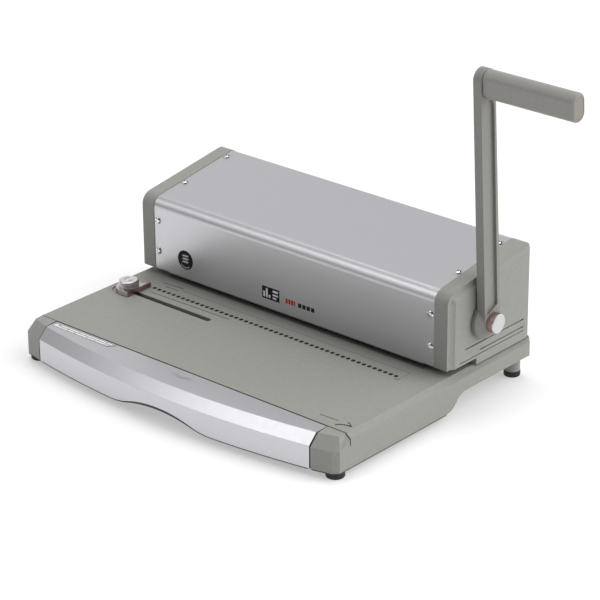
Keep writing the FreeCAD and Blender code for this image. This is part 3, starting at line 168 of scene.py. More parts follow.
def satin_metal(name, color, roughness, stretch=(1, 1, 1), grain=2200.0, depth=0.000008):
    """Silver sheet: a tight metallic grain, drawn out where the stretch says so."""
    mat, bsdf = shader(name, Metallic=1.0)
    dark, light = shades(color, 0.05)
    tinted(mat, bsdf, noise(mat, grain, 2.0, stretch), dark, light)
    patches = noise(mat, scale=240.0)
    link(mat, spread(mat, patches, roughness - 0.02, roughness + 0.02), bsdf.inputs["Roughness"])
    bumped(mat, bsdf, noise(mat, grain, 2.0, stretch), depth)
    return mat


def print_ink(name, color, roughness=0.6):
    """Dull printed ink with uneven cover."""
    mat, bsdf = shader(name, Specular_IOR_Level=0.15)
    dark, light = shades(color, 0.12)
    tinted(mat, bsdf, noise(mat, scale=900.0), dark, light)
    link(mat, spread(mat, noise(mat, scale=500.0), roughness - 0.1, roughness + 0.1),
         bsdf.inputs["Roughness"])
    return mat


def tones_with_painted_reflection(name, axis, along, around, roughness):
    """Plated metal with one tone on the faces that look along an axis and another around it; the rosy one
    of the two tones is a painted reflection.
    """
    mat, bsdf = shader(name, Metallic=1.0)
    coords = add(mat, "ShaderNodeTexCoord")
    split = add(mat, "ShaderNodeSeparateXYZ")
    link(mat, coords.outputs["Normal"], split.inputs["Vector"])
    size = add(mat, "ShaderNodeMath", operation="ABSOLUTE")
    link(mat, split.outputs[axis], size.inputs[0])
    speckle = noise(mat, scale=420.0, detail=4.0)
    blend = add(mat, "ShaderNodeMath", operation="ADD")
    link(mat, spread(mat, speckle, -0.25, 0.25), blend.inputs[0])
    link(mat, size.outputs[0], blend.inputs[1])
    tinted(mat, bsdf, blend.outputs[0], around, along, positions=(0.2, 0.95))
    link(mat, spread(mat, speckle, roughness - 0.05, roughness + 0.05), bsdf.inputs["Roughness"])
    bumped(mat, bsdf, speckle, 0.00001)
    return mat


GREY = (0.268, 0.270, 0.247)
body_plastic = moulded("body_plastic", GREY, 0.52)
lever_paint = moulded("lever_paint", (0.232, 0.230, 0.212), 0.45, 1800.0, 0.00002)
grip_plastic = moulded("grip_plastic", (0.282, 0.270, 0.258), 0.40, 1600.0, 0.00002)
tray_plastic = moulded("tray_plastic", (0.035, 0.035, 0.035), 0.5)
bottom_paint = moulded("bottom_paint", (0.05, 0.05, 0.05), 0.55)
foot_rubber = moulded("foot_rubber", (0.016, 0.016, 0.016), 0.65, 900.0, 0.00006)
silver_sheet = satin_metal("silver_sheet", (0.592, 0.592, 0.62), 0.36)
bright_chrome = satin_metal("bright_chrome", (0.80, 0.795, 0.80), 0.16, grain=700.0, depth=0.000003)
frame_steel = satin_metal("frame_steel", (0.42, 0.43, 0.42), 0.42, (1, 1, 0.05))
tool_steel = satin_metal("tool_steel", (0.36, 0.36, 0.37), 0.3, (0.04, 1, 1))
plain_steel = satin_metal("plain_steel", (0.5, 0.5, 0.51), 0.33, (0.05, 1, 1))
bushing_brass = satin_metal("bushing_brass", (0.62, 0.43, 0.18), 0.3, (1, 1, 0.1))
dark_ink = print_ink("dark_ink", (0.013, 0.013, 0.013))
thin_ink = print_ink("thin_ink", (0.085, 0.087, 0.08))
pale_ink = print_ink("pale_ink", (0.82, 0.82, 0.82))
red_ink = print_ink("red_ink", (0.55, 0.02, 0.02))
rule_ink = print_ink("rule_ink", (0.035, 0.036, 0.034))
silver_ink = print_ink("silver_ink", (0.5, 0.5, 0.51))
strip_ink = print_ink("strip_ink", (0.31, 0.31, 0.33), 0.5)
faint_ink = print_ink("faint_ink", (0.42, 0.42, 0.44), 0.45)
plug_plastic = moulded("plug_plastic", (0.252, 0.234, 0.204), 0.5, 1600.0, 0.00002)
# the rosy tones on the cap's rim, the knob's sides and the stop's ends are painted reflections
cap_chrome = tones_with_painted_reflection("cap_chrome", "X", (0.64, 0.64, 0.65), (0.62, 0.43, 0.42), 0.38)
guide_chrome = tones_with_painted_reflection("guide_chrome", "Z", (0.72, 0.72, 0.74), (0.68, 0.58, 0.58), 0.33)
stop_chrome = tones_with_painted_reflection("stop_chrome", "X", (0.42, 0.24, 0.23), (0.60, 0.57, 0.57), 0.32)
die_paint = moulded("die_paint", (0.17, 0.17, 0.16), 0.5)

SLOT_MATERIALS = {
    "body_plastic": body_plastic, "tray_plastic": tray_plastic, "bottom_sheet": bottom_paint,
    "silver_sheet": silver_sheet, "lever_paint": lever_paint, "grip_plastic": grip_plastic,
    "bright_chrome": bright_chrome, "foot_rubber": foot_rubber, "frame_steel": frame_steel,
    "tool_steel": tool_steel, "plain_steel": plain_steel, "bushing_brass": bushing_brass,
}
NODE_SLOT = {part["node"]: part["material_slot"] for part in frame["record"]["subparts"]}
NODE_BODY = {node: body for body, nodes in frame["record"]["behaviour"]["bodies"].items()
             for node in nodes}


def paint_cad_nodes():
    """Every CAD node gets its slot's material, and the die plate a darker paint."""
    for node, obj in frame["nodes"].items():
        obj.data.materials.clear()
        obj.data.materials.append(SLOT_MATERIALS[NODE_SLOT[node]])
    frame["nodes"]["die_plate"].data.materials[0] = die_paint


# ---------------------------------------------------------------- meshes

def from_cad(node):
    """A CAD node's surface, with the triangles of each flat face joined."""
    same_point, flat = 0.002 * MM, math.radians(0.6)
    bm = bmesh.new()
    bm.from_mesh(frame["nodes"][node].data)
    bmesh.ops.remove_doubles(bm, verts=bm.verts, dist=same_point)
    bmesh.ops.dissolve_limit(bm, angle_limit=flat, verts=bm.verts, edges=bm.edges)
    return bm


def bend(edge):
    """How much the surface turns at an edge, in radians."""
    return edge.calc_face_angle(0.0)


def soften(bm, width, angle, where=None, segments=3):
    """Rounds, to a width in millimetres, the edges that turn more than an angle, in degrees,
    and whose middle and length, in millimetres, pass the test."""
    edges = [e for e in bm.edges if len(e.link_faces) == 2 and bend(e) > math.radians(angle)]
    if where:
        edges = [e for e in edges if where(own((e.verts[0].co + e.verts[1].co) / 2), e.calc_length() / MM)]
    bmesh.ops.bevel(bm, geom=edges, offset=width * MM, offset_type="OFFSET", segments=segments,
                    profile=0.5, affect="EDGES", clamp_overlap=True)
    return bm


def to_object(bm, name, sharp=38):
    """A shaded object from a mesh: smooth, but crisp where it turns more than an angle."""
    bmesh.ops.recalc_face_normals(bm, faces=bm.faces)
    for face in bm.faces:
        face.smooth = True
    for edge in bm.edges:
        edge.smooth = len(edge.link_faces) != 2 or bend(edge) < math.radians(sharp)
    mesh = bpy.data.meshes.new(name)
    bm.to_mesh(mesh)
    bm.free()
    obj = bpy.data.objects.new(name, mesh)
    bpy.context.scene.collection.objects.link(obj)
    return obj


def even_normals(obj):
    """Large faces keep their own normal, so rounded edges don't shade across the flats."""
    modifier = obj.modifiers.new("even_normals", "WEIGHTED_NORMAL")
    modifier.keep_sharp = True
    return obj


def dress(obj, mat, body, node=None):
    """Gives a piece its material and its body, and hides the node it stands for."""
    obj.data.materials.clear()
    obj.data.materials.append(mat)
    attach(obj, body)
    if node:
        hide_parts(node)
    return obj


def stand_in(name, bm, node, mat=None):
    """A finished piece in place of a CAD node, with the node's body and slot."""
    slot = NODE_SLOT[node]
    obj = even_normals(to_object(bm, name))
    return dress(obj, mat or SLOT_MATERIALS[slot], NODE_BODY[node], node)


def carve(bm, cutter):
    """A mesh less a cutter; both are used up."""
    base, tool = to_object(bm, "boolean_base"), to_object(cutter, "boolean_tool")
    modifier = base.modifiers.new("boolean", "BOOLEAN")
    modifier.operation = "DIFFERENCE"
    modifier.object = tool
    modifier.solver = "EXACT"
    graph = bpy.context.evaluated_depsgraph_get()
    result = bmesh.new()
    result.from_mesh(base.evaluated_get(graph).to_mesh())
    for obj in (base, tool):
        bpy.data.objects.remove(obj)
    return result


def prism(bm, outline, low, high, axis="z"):
    """Adds a closed prism: an outline of points across the axis, between two levels."""
    def corner(u, v, level):
        return {"x": at(level, u, v), "y": at(u, level, v), "z": at(u, v, level)}[axis]

    bottom = [bm.verts.new(corner(u, v, low)) for u, v in outline]
    top = [bm.verts.new(corner(u, v, high)) for u, v in outline]
    faces = [bm.faces.new(bottom[::-1]), bm.faces.new(top)]
    for i, vert in enumerate(bottom):
        j = (i + 1) % len(bottom)
        faces.append(bm.faces.new((vert, bottom[j], top[j], top[i])))
    bmesh.ops.recalc_face_normals(bm, faces=faces)
    return faces


def circle(x, y, radius, count):
    """A round outline."""
    return [(x + radius * math.cos(2 * math.pi * i / count),
             y + radius * math.sin(2 * math.pi * i / count)) for i in range(count)]


def bar(x0, y0, x1, y1):
    """A rectangular outline between two corners."""
    return [(x0, y0), (x1, y0), (x1, y1), (x0, y1)]


def lathe(bm, profile, centre, axis, steps=48, flute=0.0):
    """Adds a turned solid. The profile's points are (radius, distance along the axis), in
    millimetres, and start and end on the axis. Rings as wide as the widest may be fluted."""
    widest = max(radius for radius, along in profile) - 0.01
    turn = Vector((0, 0, 1)).rotation_difference(Vector(axis))
    rings = []
    for radius, along in profile:
        if radius == 0:
            rings.append([bm.verts.new(centre + turn @ Vector((0, 0, along * MM)))])
            continue
        ring = []
        for i in range(steps):
            angle = 2 * math.pi * i / steps
            here = radius - flute * (i % 2) if radius > widest else radius
            local = Vector((here * math.cos(angle), here * math.sin(angle), along)) * MM
            ring.append(bm.verts.new(centre + turn @ local))
        rings.append(ring)
    for lower, upper in zip(rings, rings[1:]):
        for i in range(steps):
            j = (i + 1) % steps
            corners = [lower[i % len(lower)], lower[j % len(lower)],
                       upper[j % len(upper)], upper[i % len(upper)]]
            distinct = [c for k, c in enumerate(corners) if c not in corners[:k]]
            if len(distinct) > 2:
                bm.faces.new(distinct)
    return bm


def rounded(radius, face, rim, steps=4):
    """Profile points of a rounded outer rim that ends at a face."""
    return [(radius - rim + rim * math.cos(math.pi / 2 * i / steps),
             face - rim + rim * math.sin(math.pi / 2 * i / steps)) for i in range(steps + 1)]


# ---------------------------------------------------------------- base and drawer

def surface(node):
    """A search tree over a CAD node's surface."""
    bm = bmesh.new()
    bm.from_mesh(frame["nodes"][node].data)
    tree = BVHTree.FromBMesh(bm)
    bm.free()
    return tree


def base_shell():
    """Grey housing with rounded outer edges."""
    front, legs = own(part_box("base_housing")[0])[1], own(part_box("rear_feet")[1])[2]
    rear = own(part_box("base_housing")[1])[1]
    border = 5.6

    def outer(middle, length):
        x, y, z = middle
        inset = min(HALF_WIDTH - abs(x), rear - y)
        return inset < border and y > front + 0.4 and z > legs

    bm = soften(from_cad("base_housing"), 0.9, 24, outer)
    return stand_in("base_shell", bm, "base_housing")


def corner_groove(side):
    """Cutter for the short seam behind a corner moulding: over the deck, down the side."""
    sign = {"right": 1, "left": -1}[side]
    width = {"right": 1.25, "left": 0.8}[side]
    foot, above, beyond = 27.6, DECK + 1.5, HALF_WIDTH + 2
    cut = HALF_WIDTH - 1.3
    section = [(DRAWER_HALF, above), (beyond, above), (beyond, foot), (cut, foot), (cut, 33.0),
               (179.2, DECK - 1.3), (DRAWER_HALF, DECK - 1.1)]
    bm = bmesh.new()
    prism(bm, [(sign * x, z) for x, z in section], SEAM_Y - width, SEAM_Y + 0.5, "y")
    return bm


def corner_moulding(side):
    """Grey corner at an end of the drawer front, crisp at the seam between them."""
    node = "corner_cap_" + side
    drawer_end = min(abs(own(corner)[0]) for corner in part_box(node))

    def outer(middle, length):
        x, y, z = middle
        return y < SEAM_Y - 0.3 and z > CAP_FOOT + 0.3 and abs(x) - drawer_end >= 0.3

    bm = soften(from_cad(node), 1.0, 9, outer)
    bm = carve(bm, corner_groove(side))
    return stand_in("corner_moulding_" + side, bm, node)


def silver_front():
    """Bowed drawer front with barely broken creases."""
    lip_end = own(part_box("drawer_front")[0])[1] + 30
    bm = soften(from_cad("drawer_front"), 0.35, 25, lambda middle, length: middle[1] < lip_end, 2)
    return stand_in("silver_front", bm, "drawer_front")


def front_edging_and_arch_shade():
    """Dark strip below the drawer front that follows its finger arch: its thin even part is the bottom
    sheet's edge, and the part that grows deeper under the arch is painted shade.
    """
    front = surface("drawer_front")
    step, count = 2.0, 79
    inside, behind_face, thickness, overlap = 1.25, 0.3, 1.9, 0.2
    # the strip drops further where the arch rises: painted shade under the finger arch
    least_drop, arch_shade_drop = 1.0, 0.14
    rings = []
    bm = bmesh.new()
    for i in range(-count, count + 1):
        ahead = at(step * i, -300, 22)
        face = front.ray_cast(ahead, Vector((0, 1, 0)))[0]
        below = Vector((ahead.x, face.y + inside * MM, 0))
        rim = front.ray_cast(below, Vector((0, 0, 1)))[0]
        drop = least_drop * MM + arch_shade_drop * (rim.z - CAP_FOOT * MM)
        near, far = face.y + behind_face * MM, face.y + (behind_face + thickness) * MM
        low, high = rim.z - drop, rim.z + overlap * MM
        rings.append([bm.verts.new((ahead.x, y, z)) for y, z in bar(near, low, far, high)])
    for first, second in zip(rings, rings[1:]):
        for k in range(4):
            bm.faces.new((first[k], first[(k + 1) % 4], second[(k + 1) % 4], second[k]))
    bm.faces.new(rings[0][::-1])
    bm.faces.new(rings[-1])
    return dress(to_object(bm, "front_edging_and_arch_shade"), tray_plastic, "drawer")


def side_edging():
    """Dark edge of the bottom sheet, just inside the corner mouldings and the sides."""
    edge, thickness, back = HALF_WIDTH - EDGE_GAP, 2.4, 19.0
    outer = [(DRAWER_HALF + 1.3, -131.2), (180.6, -126.9), (edge, -122.2), (edge, back)]
    inner = [(edge - thickness, back), (edge - thickness, -121.2), (178.9, -124.6),
             (DRAWER_HALF + 1.3, -128.8)]
    bm = bmesh.new()
    for sign in (1, -1):
        outline = [(sign * x, y) for x, y in outer + inner]
        prism(bm, outline, CAP_FOOT - 1.3, CAP_FOOT + 0.2)
    return dress(to_object(bm, "side_edging"), bottom_paint, "machine")


def shade_plate_on_end_face(bm, node, sign):
    """Adds a thin plate on a node's end face across x, from just inside the face outwards; the seams use
    it as painted shade.
    """
    sunk, proud, tolerance = 0.05 * MM, 0.25 * MM, 0.2 * MM
    source = from_cad(node)
    low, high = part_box(node)
    end = high.x if sign > 0 else low.x
    for face in source.faces:
        across = abs(face.normal.x) > 0.99
        if not across or abs(face.calc_center_median().x - end) > tolerance:
            continue
        corners = [vert.co.copy() for vert in face.verts]
        near = [bm.verts.new((end - sign * sunk, v.y, v.z)) for v in corners]
        far = [bm.verts.new((end + sign * proud, v.y, v.z)) for v in corners]
        bm.faces.new(near)
        bm.faces.new(far[::-1])
        for i, vert in enumerate(near):
            j = (i + 1) % len(near)
            bm.faces.new((vert, near[j], far[j], far[i]))
    source.free()


def seam_shade_plates():
    """Dark plates that paint the shade in the seams: behind each corner moulding, beside the drawer front
    and along the foot of the head's ends."""
    start, edge, foot = DRAWER_HALF + 1.3, HALF_WIDTH - EDGE_GAP, 27.7
    skin, top = edge - 0.8, DECK - 0.4
    corner_seam_shade = [(start, top), (179.5, top), (edge, 33.4), (edge, foot), (skin, foot), (skin, 33.0),
                     (179.3, top - 1.0), (start, top - 0.8)]
    low_z, high_z = DECK + 0.02, DECK + 0.55
    head_foot_shade = [(62.3, low_z), (136.6, low_z), (136.9, high_z), (62.3, high_z)]
    bm = bmesh.new()
    for side, sign in (("right", 1), ("left", -1)):
        prism(bm, [(sign * x, z) for x, z in corner_seam_shade], SEAM_Y - 1.2, SEAM_Y + 0.2, "y")
        shade_plate_on_end_face(bm, "corner_cap_" + side, -sign)
        low, high = sorted((sign * (HEAD_HALF - 2.5), sign * (HEAD_HALF + 0.06)))
        prism(bm, head_foot_shade, low, high, "x")
    dress(to_object(bm, "seam_shade_plates"), tray_plastic, "machine")
    bm = bmesh.new()
    for sign in (1, -1):
        shade_plate_on_end_face(bm, "drawer_front", sign)
    dress(to_object(bm, "drawer_end_shade_plates"), tray_plastic, "drawer")


def feet():
    """Turned rubber feet with a small radius at the floor."""
    for node, radius, height in (("front_feet", 8.3, 7.3), ("rear_feet", 7.5, 5.6)):
        low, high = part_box(node)
        profile = [(0, 0), (radius - 1.3, 0), (radius - 0.4, 0.3), (radius, 1.2),
                   (radius, height - 0.5), (radius - 0.5, height), (0, height)]
        bm = bmesh.new()
        for x in (low.x + radius * MM, high.x - radius * MM):
            lathe(bm, profile, Vector((x, (low.y + high.y) / 2, 0)), (0, 0, 1))
        stand_in(node + "_moulded", bm, node)


# ---------------------------------------------------------------- head

def cover():
    """Bent silver sheet with its long cut edges broken."""
    bm = soften(from_cad("head_cover"), 0.4, 50, lambda middle, length: length > 30, 2)
    return stand_in("cover_sheet", bm, "head_cover")


def end_moulding(side):
    """Head's end with rounded outer edges, its raised panel and vents."""
    node = "end_cap_" + side
    front, rear = (own(corner)[1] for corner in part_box(node))
    shoulder = 112.0

    def outer(middle, length):
        x, y, z = middle
        on_border = y < front + 0.3 or y > rear - 2 or z > shoulder
        on_rim = abs(abs(x) - (HEAD_HALF - PANEL_RISE)) < 0.1
        return on_rim and on_border and length > 1.2

    def crown(middle, length):
        return abs(abs(middle[0]) - HEAD_HALF) < 0.1 and length > 3.2

    bm = soften(from_cad(node), 1.1, 40, outer)
    soften(bm, 0.45, 24, crown, 2)
    return stand_in("end_moulding_" + side, bm, node)


def vent_shade_plates():
    """Dark plates in the two upper vents: at their front ends painted shadow of the lever's hub, at their
    rear ends painted shade standing in for openings.
    """
    upper, lower, half_height = 58.3, 51.2, 0.65
    hub_shadow_ends = [(56.5, 76.0, upper), (66.8, 75.5, lower)]
    opening_shade_ends = [(126.6, 128.8, upper), (126.6, 128.8, lower)]
    bm = bmesh.new()
    for sign in (1, -1):
        low, high = sorted((sign * (HEAD_HALF - 1.3), sign * (HEAD_HALF - 0.3)))
        for start, end, z in hub_shadow_ends + opening_shade_ends:
            prism(bm, bar(start, z - half_height, end, z + half_height), low, high, "x")
    return dress(to_object(bm, "vent_shade_plates"), tray_plastic, "machine")


def screw_head():
    """A domed head with a cross recess, standing on the origin and looking up."""
    radius, rim, dome, depth = 3.4, 0.45, 1.25, 1.0
    profile = [(0, -0.8), (radius - 0.1, -0.8), (radius, 0.05), (radius, rim)]
    profile += [(radius * math.cos(a), rim + dome * math.sin(a)) for a in (0.25, 0.5, 0.8, 1.1, 1.35)]
    profile += [(0, rim + dome)]
    head = lathe(bmesh.new(), profile, Vector((0, 0, 0)), (0, 0, 1), steps=32)
    arm, reach = 0.42, 2.1
    plus = [(arm, arm), (arm, reach), (-arm, reach), (-arm, arm), (-reach, arm), (-reach, -arm),
            (-arm, -arm), (-arm, -reach), (arm, -reach), (arm, -arm), (reach, -arm), (reach, arm)]
    cross = bmesh.new()
    bottom = [cross.verts.new(Vector((x, y, rim + dome - depth)) * MM) for x, y in plus]
    top = [cross.verts.new(Vector((x, y, 3.0)) * MM) for x, y in plus]
    cross.faces.new(bottom[::-1])
    cross.faces.new(top)
    for i, vert in enumerate(bottom):
        j = (i + 1) % len(plus)
        cross.faces.new((vert, bottom[j], top[j], top[i]))
    return carve(head, cross)


def screw_places():
    """Where the cover's screws stand and which way each one looks."""
    column = COVER_HALF - 4.2
    slope = math.atan2(TOP_RISE, COVER_REAR - COVER_FRONT)
    places = []
    for x in (-column, column):
        for z in (93, 62.7):
            places.append((at(x, COVER_FRONT, z), Vector((0, -1, 0))))
            places.append((at(x, COVER_REAR, z), Vector((0, 1, 0))))
        for y in (61.8, 119.4):
            top = TOP_START + (y - COVER_FRONT) * math.tan(slope)
            places.append((at(x, y, top), Vector((0, -math.sin(slope), math.cos(slope)))))
    return places


def cover_screws():
    """The cover's screws, each turned to a different angle."""
    first_turn, next_turn = 0.5, 1.3
    template = bpy.data.meshes.new("screw_template")
    master = screw_head()
    master.to_mesh(template)
    master.free()
    bm = bmesh.new()
    for number, (point, out) in enumerate(screw_places()):
        before = len(bm.verts)
        bm.from_mesh(template)
        bm.verts.ensure_lookup_table()
        spin = Matrix.Rotation(first_turn + next_turn * number, 4, "Z")
        turn = Vector((0, 0, 1)).rotation_difference(out).to_matrix().to_4x4()
        place = Matrix.Translation(point) @ turn @ spin
        bmesh.ops.transform(bm, matrix=place, verts=bm.verts[before:])
    bpy.data.meshes.remove(template)
    return stand_in("cover_screw_heads", bm, "cover_screws")


# ---------------------------------------------------------------- lever

def lever():
    """Cast arm and hub with rounded edges."""
    arm = soften(from_cad("lever_arm"), 0.8, 32, lambda middle, length: length > 0.8)
    stand_in("lever_arm_cast", arm, "lever_arm")
    stand_in("lever_hub_cast", soften(from_cad("lever_hub"), 0.8, 40), "lever_hub")


def grip():
    """Grip sleeve and the plug in its end."""
    sleeve = soften(from_cad("lever_grip"), 0.25, 50, segments=2)
    stand_in("grip_sleeve", sleeve, "lever_grip")
    plug = soften(from_cad("grip_end_cap"), 0.3, 50, segments=2)
    stand_in("grip_plug", plug, "grip_end_cap", plug_plastic)


def pivot_button():
    """Bright cap on the pivot: a disc with a finely ribbed rim and a shallow ring in its face."""
    low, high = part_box("pivot_cap")
    radius, length = 9.15, (high.x - low.x) / MM
    centre = Vector((low.x, (low.y + high.y) / 2, (low.z + high.z) / 2))
    profile = [(0, 0.0), (8.8, 0.0), (radius, 0.4), (radius, length - 1.4)]
    profile += rounded(radius, length, 1.3)
    profile += [(6.9, length), (6.6, length - 0.2), (6.2, length - 0.2), (5.9, length), (0, length)]
    bm = lathe(bmesh.new(), profile, centre, (1, 0, 0), steps=120, flute=0.14)
    return stand_in("pivot_button", bm, "pivot_cap", cap_chrome)


# ---------------------------------------------------------------- edge guide

def knob():
    """Clamp knob: a flange, a neck and a domed head with a shallow ring in its top."""
    low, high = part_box("guide_knob")
    centre = Vector(((low.x + high.x) / 2, (low.y + high.y) / 2, low.z))
    head, height = 9.3, (high.z - low.z) / MM
    profile = [(0, 0), (head, 0), (head + 0.2, 0.2), (head + 0.2, 1.7), (head, 2.1),
               (head - 0.5, 2.3), (head - 0.5, 2.9), (head, 3.4), (head, height - 1.7)]
    profile += rounded(head, height, 1.6, 6)
    profile += [(4.3, height), (4.0, height - 0.35), (3.2, height - 0.35), (2.9, height), (0, height)]
    bm = lathe(bmesh.new(), profile, centre, (0, 0, 1), steps=64)
    return stand_in("clamp_knob", bm, "guide_knob", guide_chrome)


def stop():
    """The edge stop, its underside just clear of the printed marks it slides over."""
    bm = soften(from_cad("stop_plate"), 0.35, 40, segments=2)
    for vert in bm.verts:
        vert.co.z = max(vert.co.z, (DECK + INK_HEIGHT + 0.04) * MM)
    return stand_in("edge_stop", bm, "stop_plate", stop_chrome)


# ---------------------------------------------------------------- printed marks

def printed(name, mat, outlines, level, axis="z"):
    """Ink as thin raised plates on a flat face of the machine."""
    bm = bmesh.new()
    for outline in outlines:
        prism(bm, outline, level, level + INK_HEIGHT, axis)
    return dress(to_object(bm, name), mat, "machine")


def draped(name, mat, outlines):
    """Ink on the drawer front: every corner is dropped on the surface below it."""
    tree = surface("drawer_front")
    above = 0.2
    bm = bmesh.new()
    for outline in outlines:
        faces = prism(bm, outline, 0, INK_HEIGHT)
        for vert in {v for face in faces for v in face.verts}:
            hit = tree.ray_cast(Vector((vert.co.x, vert.co.y, above)), Vector((0, 0, -1)))[0]
            vert.co.z += hit.z
    return dress(to_object(bm, name), mat, "drawer")


def dashes(start, end, lengths, gap, width):
    """Bars along a line, with the given lengths repeated until the line is full."""
    (x0, y0), (x1, y1) = start, end
    total = math.hypot(x1 - x0, y1 - y0)
    ux, uy = (x1 - x0) / total, (y1 - y0) / total
    outlines, along, number = [], 0.0, 0
    while along < total:
        reach = min(along + lengths[number % len(lengths)], total)
        a, b = (x0 + ux * along, y0 + uy * along), (x0 + ux * reach, y0 + uy * reach)
        outlines.append([a, b, (b[0] - uy * width, b[1] + ux * width),
                         (a[0] - uy * width, a[1] + ux * width)])
        along, number = reach + gap, number + 1
    return outlines


def ribbon(points, width):
    """Outline of a bent line of a given width."""
    left, right = [], []
    for i, (x, y) in enumerate(points):
        before, after = points[max(i - 1, 0)], points[min(i + 1, len(points) - 1)]
        dx, dy = after[0] - before[0], after[1] - before[1]
        size = math.hypot(dx, dy)
        left.append((x - dy / size * width / 2, y + dx / size * width / 2))
        right.append((x + dy / size * width / 2, y - dx / size * width / 2))
    return left + right[::-1]


def deck_print():
    """The row of hole marks, the guide's line, thin lines about the row and a small arrow at
    the right corner, with short bars in place of words."""
    pitch, mark_radius, marks_each_side = 6.0, 2.1, 24
    holes = [circle(pitch * i, 0, mark_radius, 20) for i in range(-marks_each_side, marks_each_side + 1)]
    printed("hole_marks", dark_ink, holes, DECK)
    rule = [(-141, -9.0), (-44.5, -7.2), (-44.5, -6.4), (-141, -8.2)]
    printed("guide_line", rule_ink, [rule], DECK)
    faint = [bar(-122, 12.0, 149.6, 12.3), bar(149.3, -4.8, 149.6, 12.0),
             bar(146.6, -6.0, 147.2, -2.2), bar(149.8, -5.6, 150.4, -2.6)]
    faint += dashes((-145.4, 13.2), (-122, 15.0), (1.6, 2.3, 1.2, 2.8), 0.7, 1.3)
    faint += dashes((-139, 8.4), (-123, 8.7), (2.1, 1.3, 1.8), 0.6, 1.1)
    printed("frame_lines", thin_ink, faint, DECK)
    words = dashes((142.0, -97.6), (161.5, -96.6), (1.5, 1.9, 1.2, 2.2), 0.7, 1.1)
    sweep = [(163.8, -103.6), (166.4, -100.6), (169.2, -98.9), (172.4, -98.0), (176.0, -97.7)]
    barb = [(168.8, -92.8), (172.8, -95.0), (176.8, -97.7)]
    arrow = [ribbon(sweep, 1.7), ribbon(barb, 0.9)]
    printed("direction_mark", rule_ink, words + arrow, DECK)


def lip_print():
    """Light caution strip at the left of the drawer's lip, with plain bars in place of words,
    and a faint chevron on its middle."""
    front, rear, cuts = -117.6, -110.6, 14
    front_left, rear_left, rear_right, front_right = -158.6, -157.2, -82.6, -88.0

    def along(left, right, step):
        return left + (right - left) * step / cuts

    strip = [[(along(front_left, front_right, i), front), (along(front_left, front_right, i + 1), front),
              (along(rear_left, rear_right, i + 1), rear), (along(rear_left, rear_right, i), rear)]
             for i in range(cuts)]
    draped("caution_strip", strip_ink, strip)
    rows = dashes((-151.0, -113.6), (-86.5, -113.6), (9.0, 13.0, 7.0, 15.0), 1.1, 1.2)
    rows += dashes((-152.5, -116.5), (-89.5, -116.5), (12.0, 8.0, 14.0, 9.0), 1.1, 1.2)
    rows += [[(-157.6, -116.4), (-152.8, -116.4), (-154.6, -111.6)]]
    pale = draped("caution_bars", pale_ink, rows)
    pale.location.z += INK_HEIGHT * MM
    chevron = [ribbon([(-9, -118.6), (3, -121.6), (13.5, -117.6)], 0.7),
               ribbon([(-6.5, -117.2), (3, -119.4), (10.5, -116.4)], 0.5)]
    draped("pressed_chevron", faint_ink, chevron)


def badge(x, z):
    """A round dark badge with a stack of sheets and an arc."""
    face = COVER_FRONT - INK_HEIGHT
    disc_radius, arc_radius, half_sheet, lean, height = 9.4, 7.6, 4.6, 2.2, 1.9
    printed("badge_disc", dark_ink, [circle(x, z, disc_radius, 48)], face, "y")
    stack = [[(x - half_sheet, low), (x + half_sheet - lean, low), (x + half_sheet, low + height),
              (x - half_sheet + lean, low + height)] for low in (z + 3.2, z + 0.2, z - 2.8)]
    turns = (-0.8, -0.5, -0.2, 0.1, 0.4, 0.7)
    arc = ribbon([(x + arc_radius * math.sin(a), z - arc_radius * math.cos(a)) for a in turns], 0.8)
    printed("badge_sheets", silver_ink, stack + [arc], face - INK_HEIGHT, "y")


def plaque():
    """A dark plaque with bars, and two short rows of blocks beside it."""
    face = COVER_FRONT - INK_HEIGHT
    plate = [(-32.2, 53.0), (-11.4, 53.0), (-11.4, 65.0), (-32.2, 65.0)]
    printed("plaque", dark_ink, [plate], face, "y")
    columns = [bar(-30.6, 54.6, -28.6, 60.0), bar(-27.4, 54.6, -25.4, 63.4), bar(-24.2, 54.6, -22.2, 57.6)]
    lines = [bar(-19.4, 61.2, -13.0, 63.2), bar(-19.4, 57.9, -13.0, 59.5), bar(-19.4, 54.8, -15.0, 56.4)]
    printed("plaque_bars", pale_ink, columns + lines, face - INK_HEIGHT, "y")
    reds = [bar(x, 55.2, x + 2.6, 60.0) for x in (-4.0, -0.7, 2.6)] + [bar(5.9, 55.2, 7.4, 60.0)]
    printed("red_blocks", red_ink, reds, face, "y")
    darks = [bar(x, 55.3, x + 3.9, 59.4) for x in (10.8, 15.9, 21.0, 26.1)]
    printed("dark_blocks", dark_ink, darks, face, "y")


# ---------------------------------------------------------------- studio

def studio():
    """A pale floor that glows a little, under a dim even sky."""
    floor_size = 16
    bpy.ops.mesh.primitive_plane_add(size=1)
    floor = bpy.context.object
    floor.name = "floor"
    floor.scale = (floor_size, floor_size, 1)
    mat, bsdf = shader("floor_white", Roughness=0.8, Specular_IOR_Level=0.1,
                       Emission_Color=(1, 1, 1, 1), Emission_Strength=0.4)
    tinted(mat, bsdf, noise(mat, scale=3.0), (0.55, 0.55, 0.55), (0.56, 0.56, 0.56))
    floor.data.materials.append(mat)
    world = bpy.data.worlds.new("studio_world")
    bpy.context.scene.world = world
    world.use_nodes = True
    background = world.node_tree.nodes["Background"]
    background.inputs["Color"].default_value = (1, 1, 1, 1)
    background.inputs["Strength"].default_value = 0.07
    bpy.context.scene.view_settings.view_transform = "Standard"


NARROW, BROAD = 32, 60

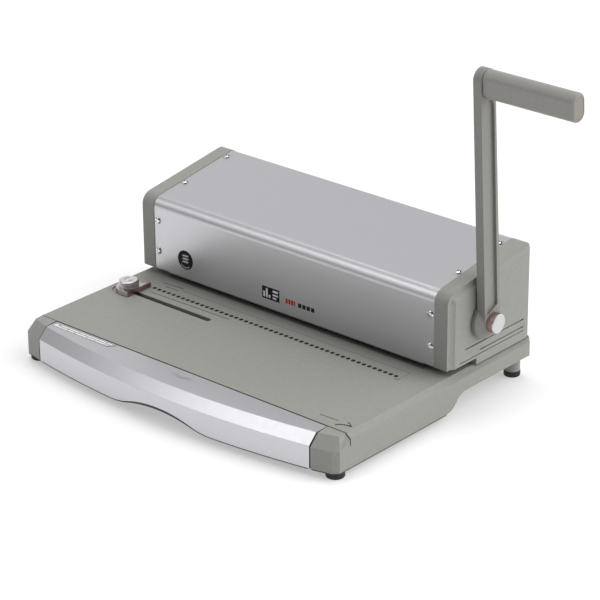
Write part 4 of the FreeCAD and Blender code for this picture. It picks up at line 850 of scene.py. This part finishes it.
# Azimuth from +x towards +y, elevation and width in degrees, and strength.
SOFTBOXES = [
    # right and rear right: the main light on the deck and the right side
    (10, 54, BROAD, 0.38), (15, 34, BROAD, 0.72), (30, 14, NARROW, 0.34), (45, 34, BROAD, 0.85),
    (45, 74, BROAD, 0.65), (60, 14, NARROW, 0.55),
    # rear left: what the cover's top and the drawer's lip reflect
    (120, 14, NARROW, 0.15), (135, 34, NARROW, 0.125), (135, 74, NARROW, 0.95),
    (150, 14, NARROW, 0.14), (180, 14, NARROW, 0.20), (168, 50, NARROW, 0.14),
    # front left: a weak fill on the faces that look forward
    (225, 34, NARROW, 0.23), (235, 54, NARROW, 0.48), (240, 14, NARROW, 0.08),
]


def soft_sun(name, azimuth, elevation, width, strength):
    """A distant round softbox. A broad one lights the machine but isn't mirrored in the metal."""
    light = bpy.data.lights.new(name, "SUN")
    light.angle = math.radians(width)
    light.energy = strength
    obj = bpy.data.objects.new(name, light)
    bpy.context.scene.collection.objects.link(obj)
    around, up = math.radians(azimuth), math.radians(elevation)
    direction = Vector((math.cos(around) * math.cos(up), math.sin(around) * math.cos(up), math.sin(up)))
    obj.rotation_mode = "QUATERNION"
    obj.rotation_quaternion = direction.to_track_quat("Z", "Y")
    obj.visible_glossy = width < BROAD
    return obj


def camera():
    """A long lens that looks down at the machine from the front right."""
    stand = at(1443.63, -1594.57, 1037.50)
    azimuth, elevation, roll = 41.46167, 24.27444, -0.52172
    data = bpy.data.cameras.new("camera")
    data.lens, data.sensor_width = 159.75, 36.0
    data.clip_start, data.clip_end = 0.1, 50.0
    obj = bpy.data.objects.new("camera", data)
    bpy.context.scene.collection.objects.link(obj)
    look = Euler((math.radians(90 - elevation), 0, math.radians(azimuth))).to_matrix()
    turn = look @ Matrix.Rotation(math.radians(roll), 3, "Z")
    obj.matrix_world = Matrix.Translation(stand) @ turn.to_4x4()
    bpy.context.scene.camera = obj


paint_cad_nodes()
base_shell()
corner_moulding("left")
corner_moulding("right")
silver_front()
front_edging_and_arch_shade()
side_edging()
seam_shade_plates()
feet()
cover()
end_moulding("left")
end_moulding("right")
vent_shade_plates()
cover_screws()
lever()
grip()
pivot_button()
knob()
stop()
deck_print()
lip_print()
badge(-127.3, 62.7)
plaque()
studio()
for number, softbox in enumerate(SOFTBOXES):
    soft_sun("softbox_%02d" % number, *softbox)
camera()
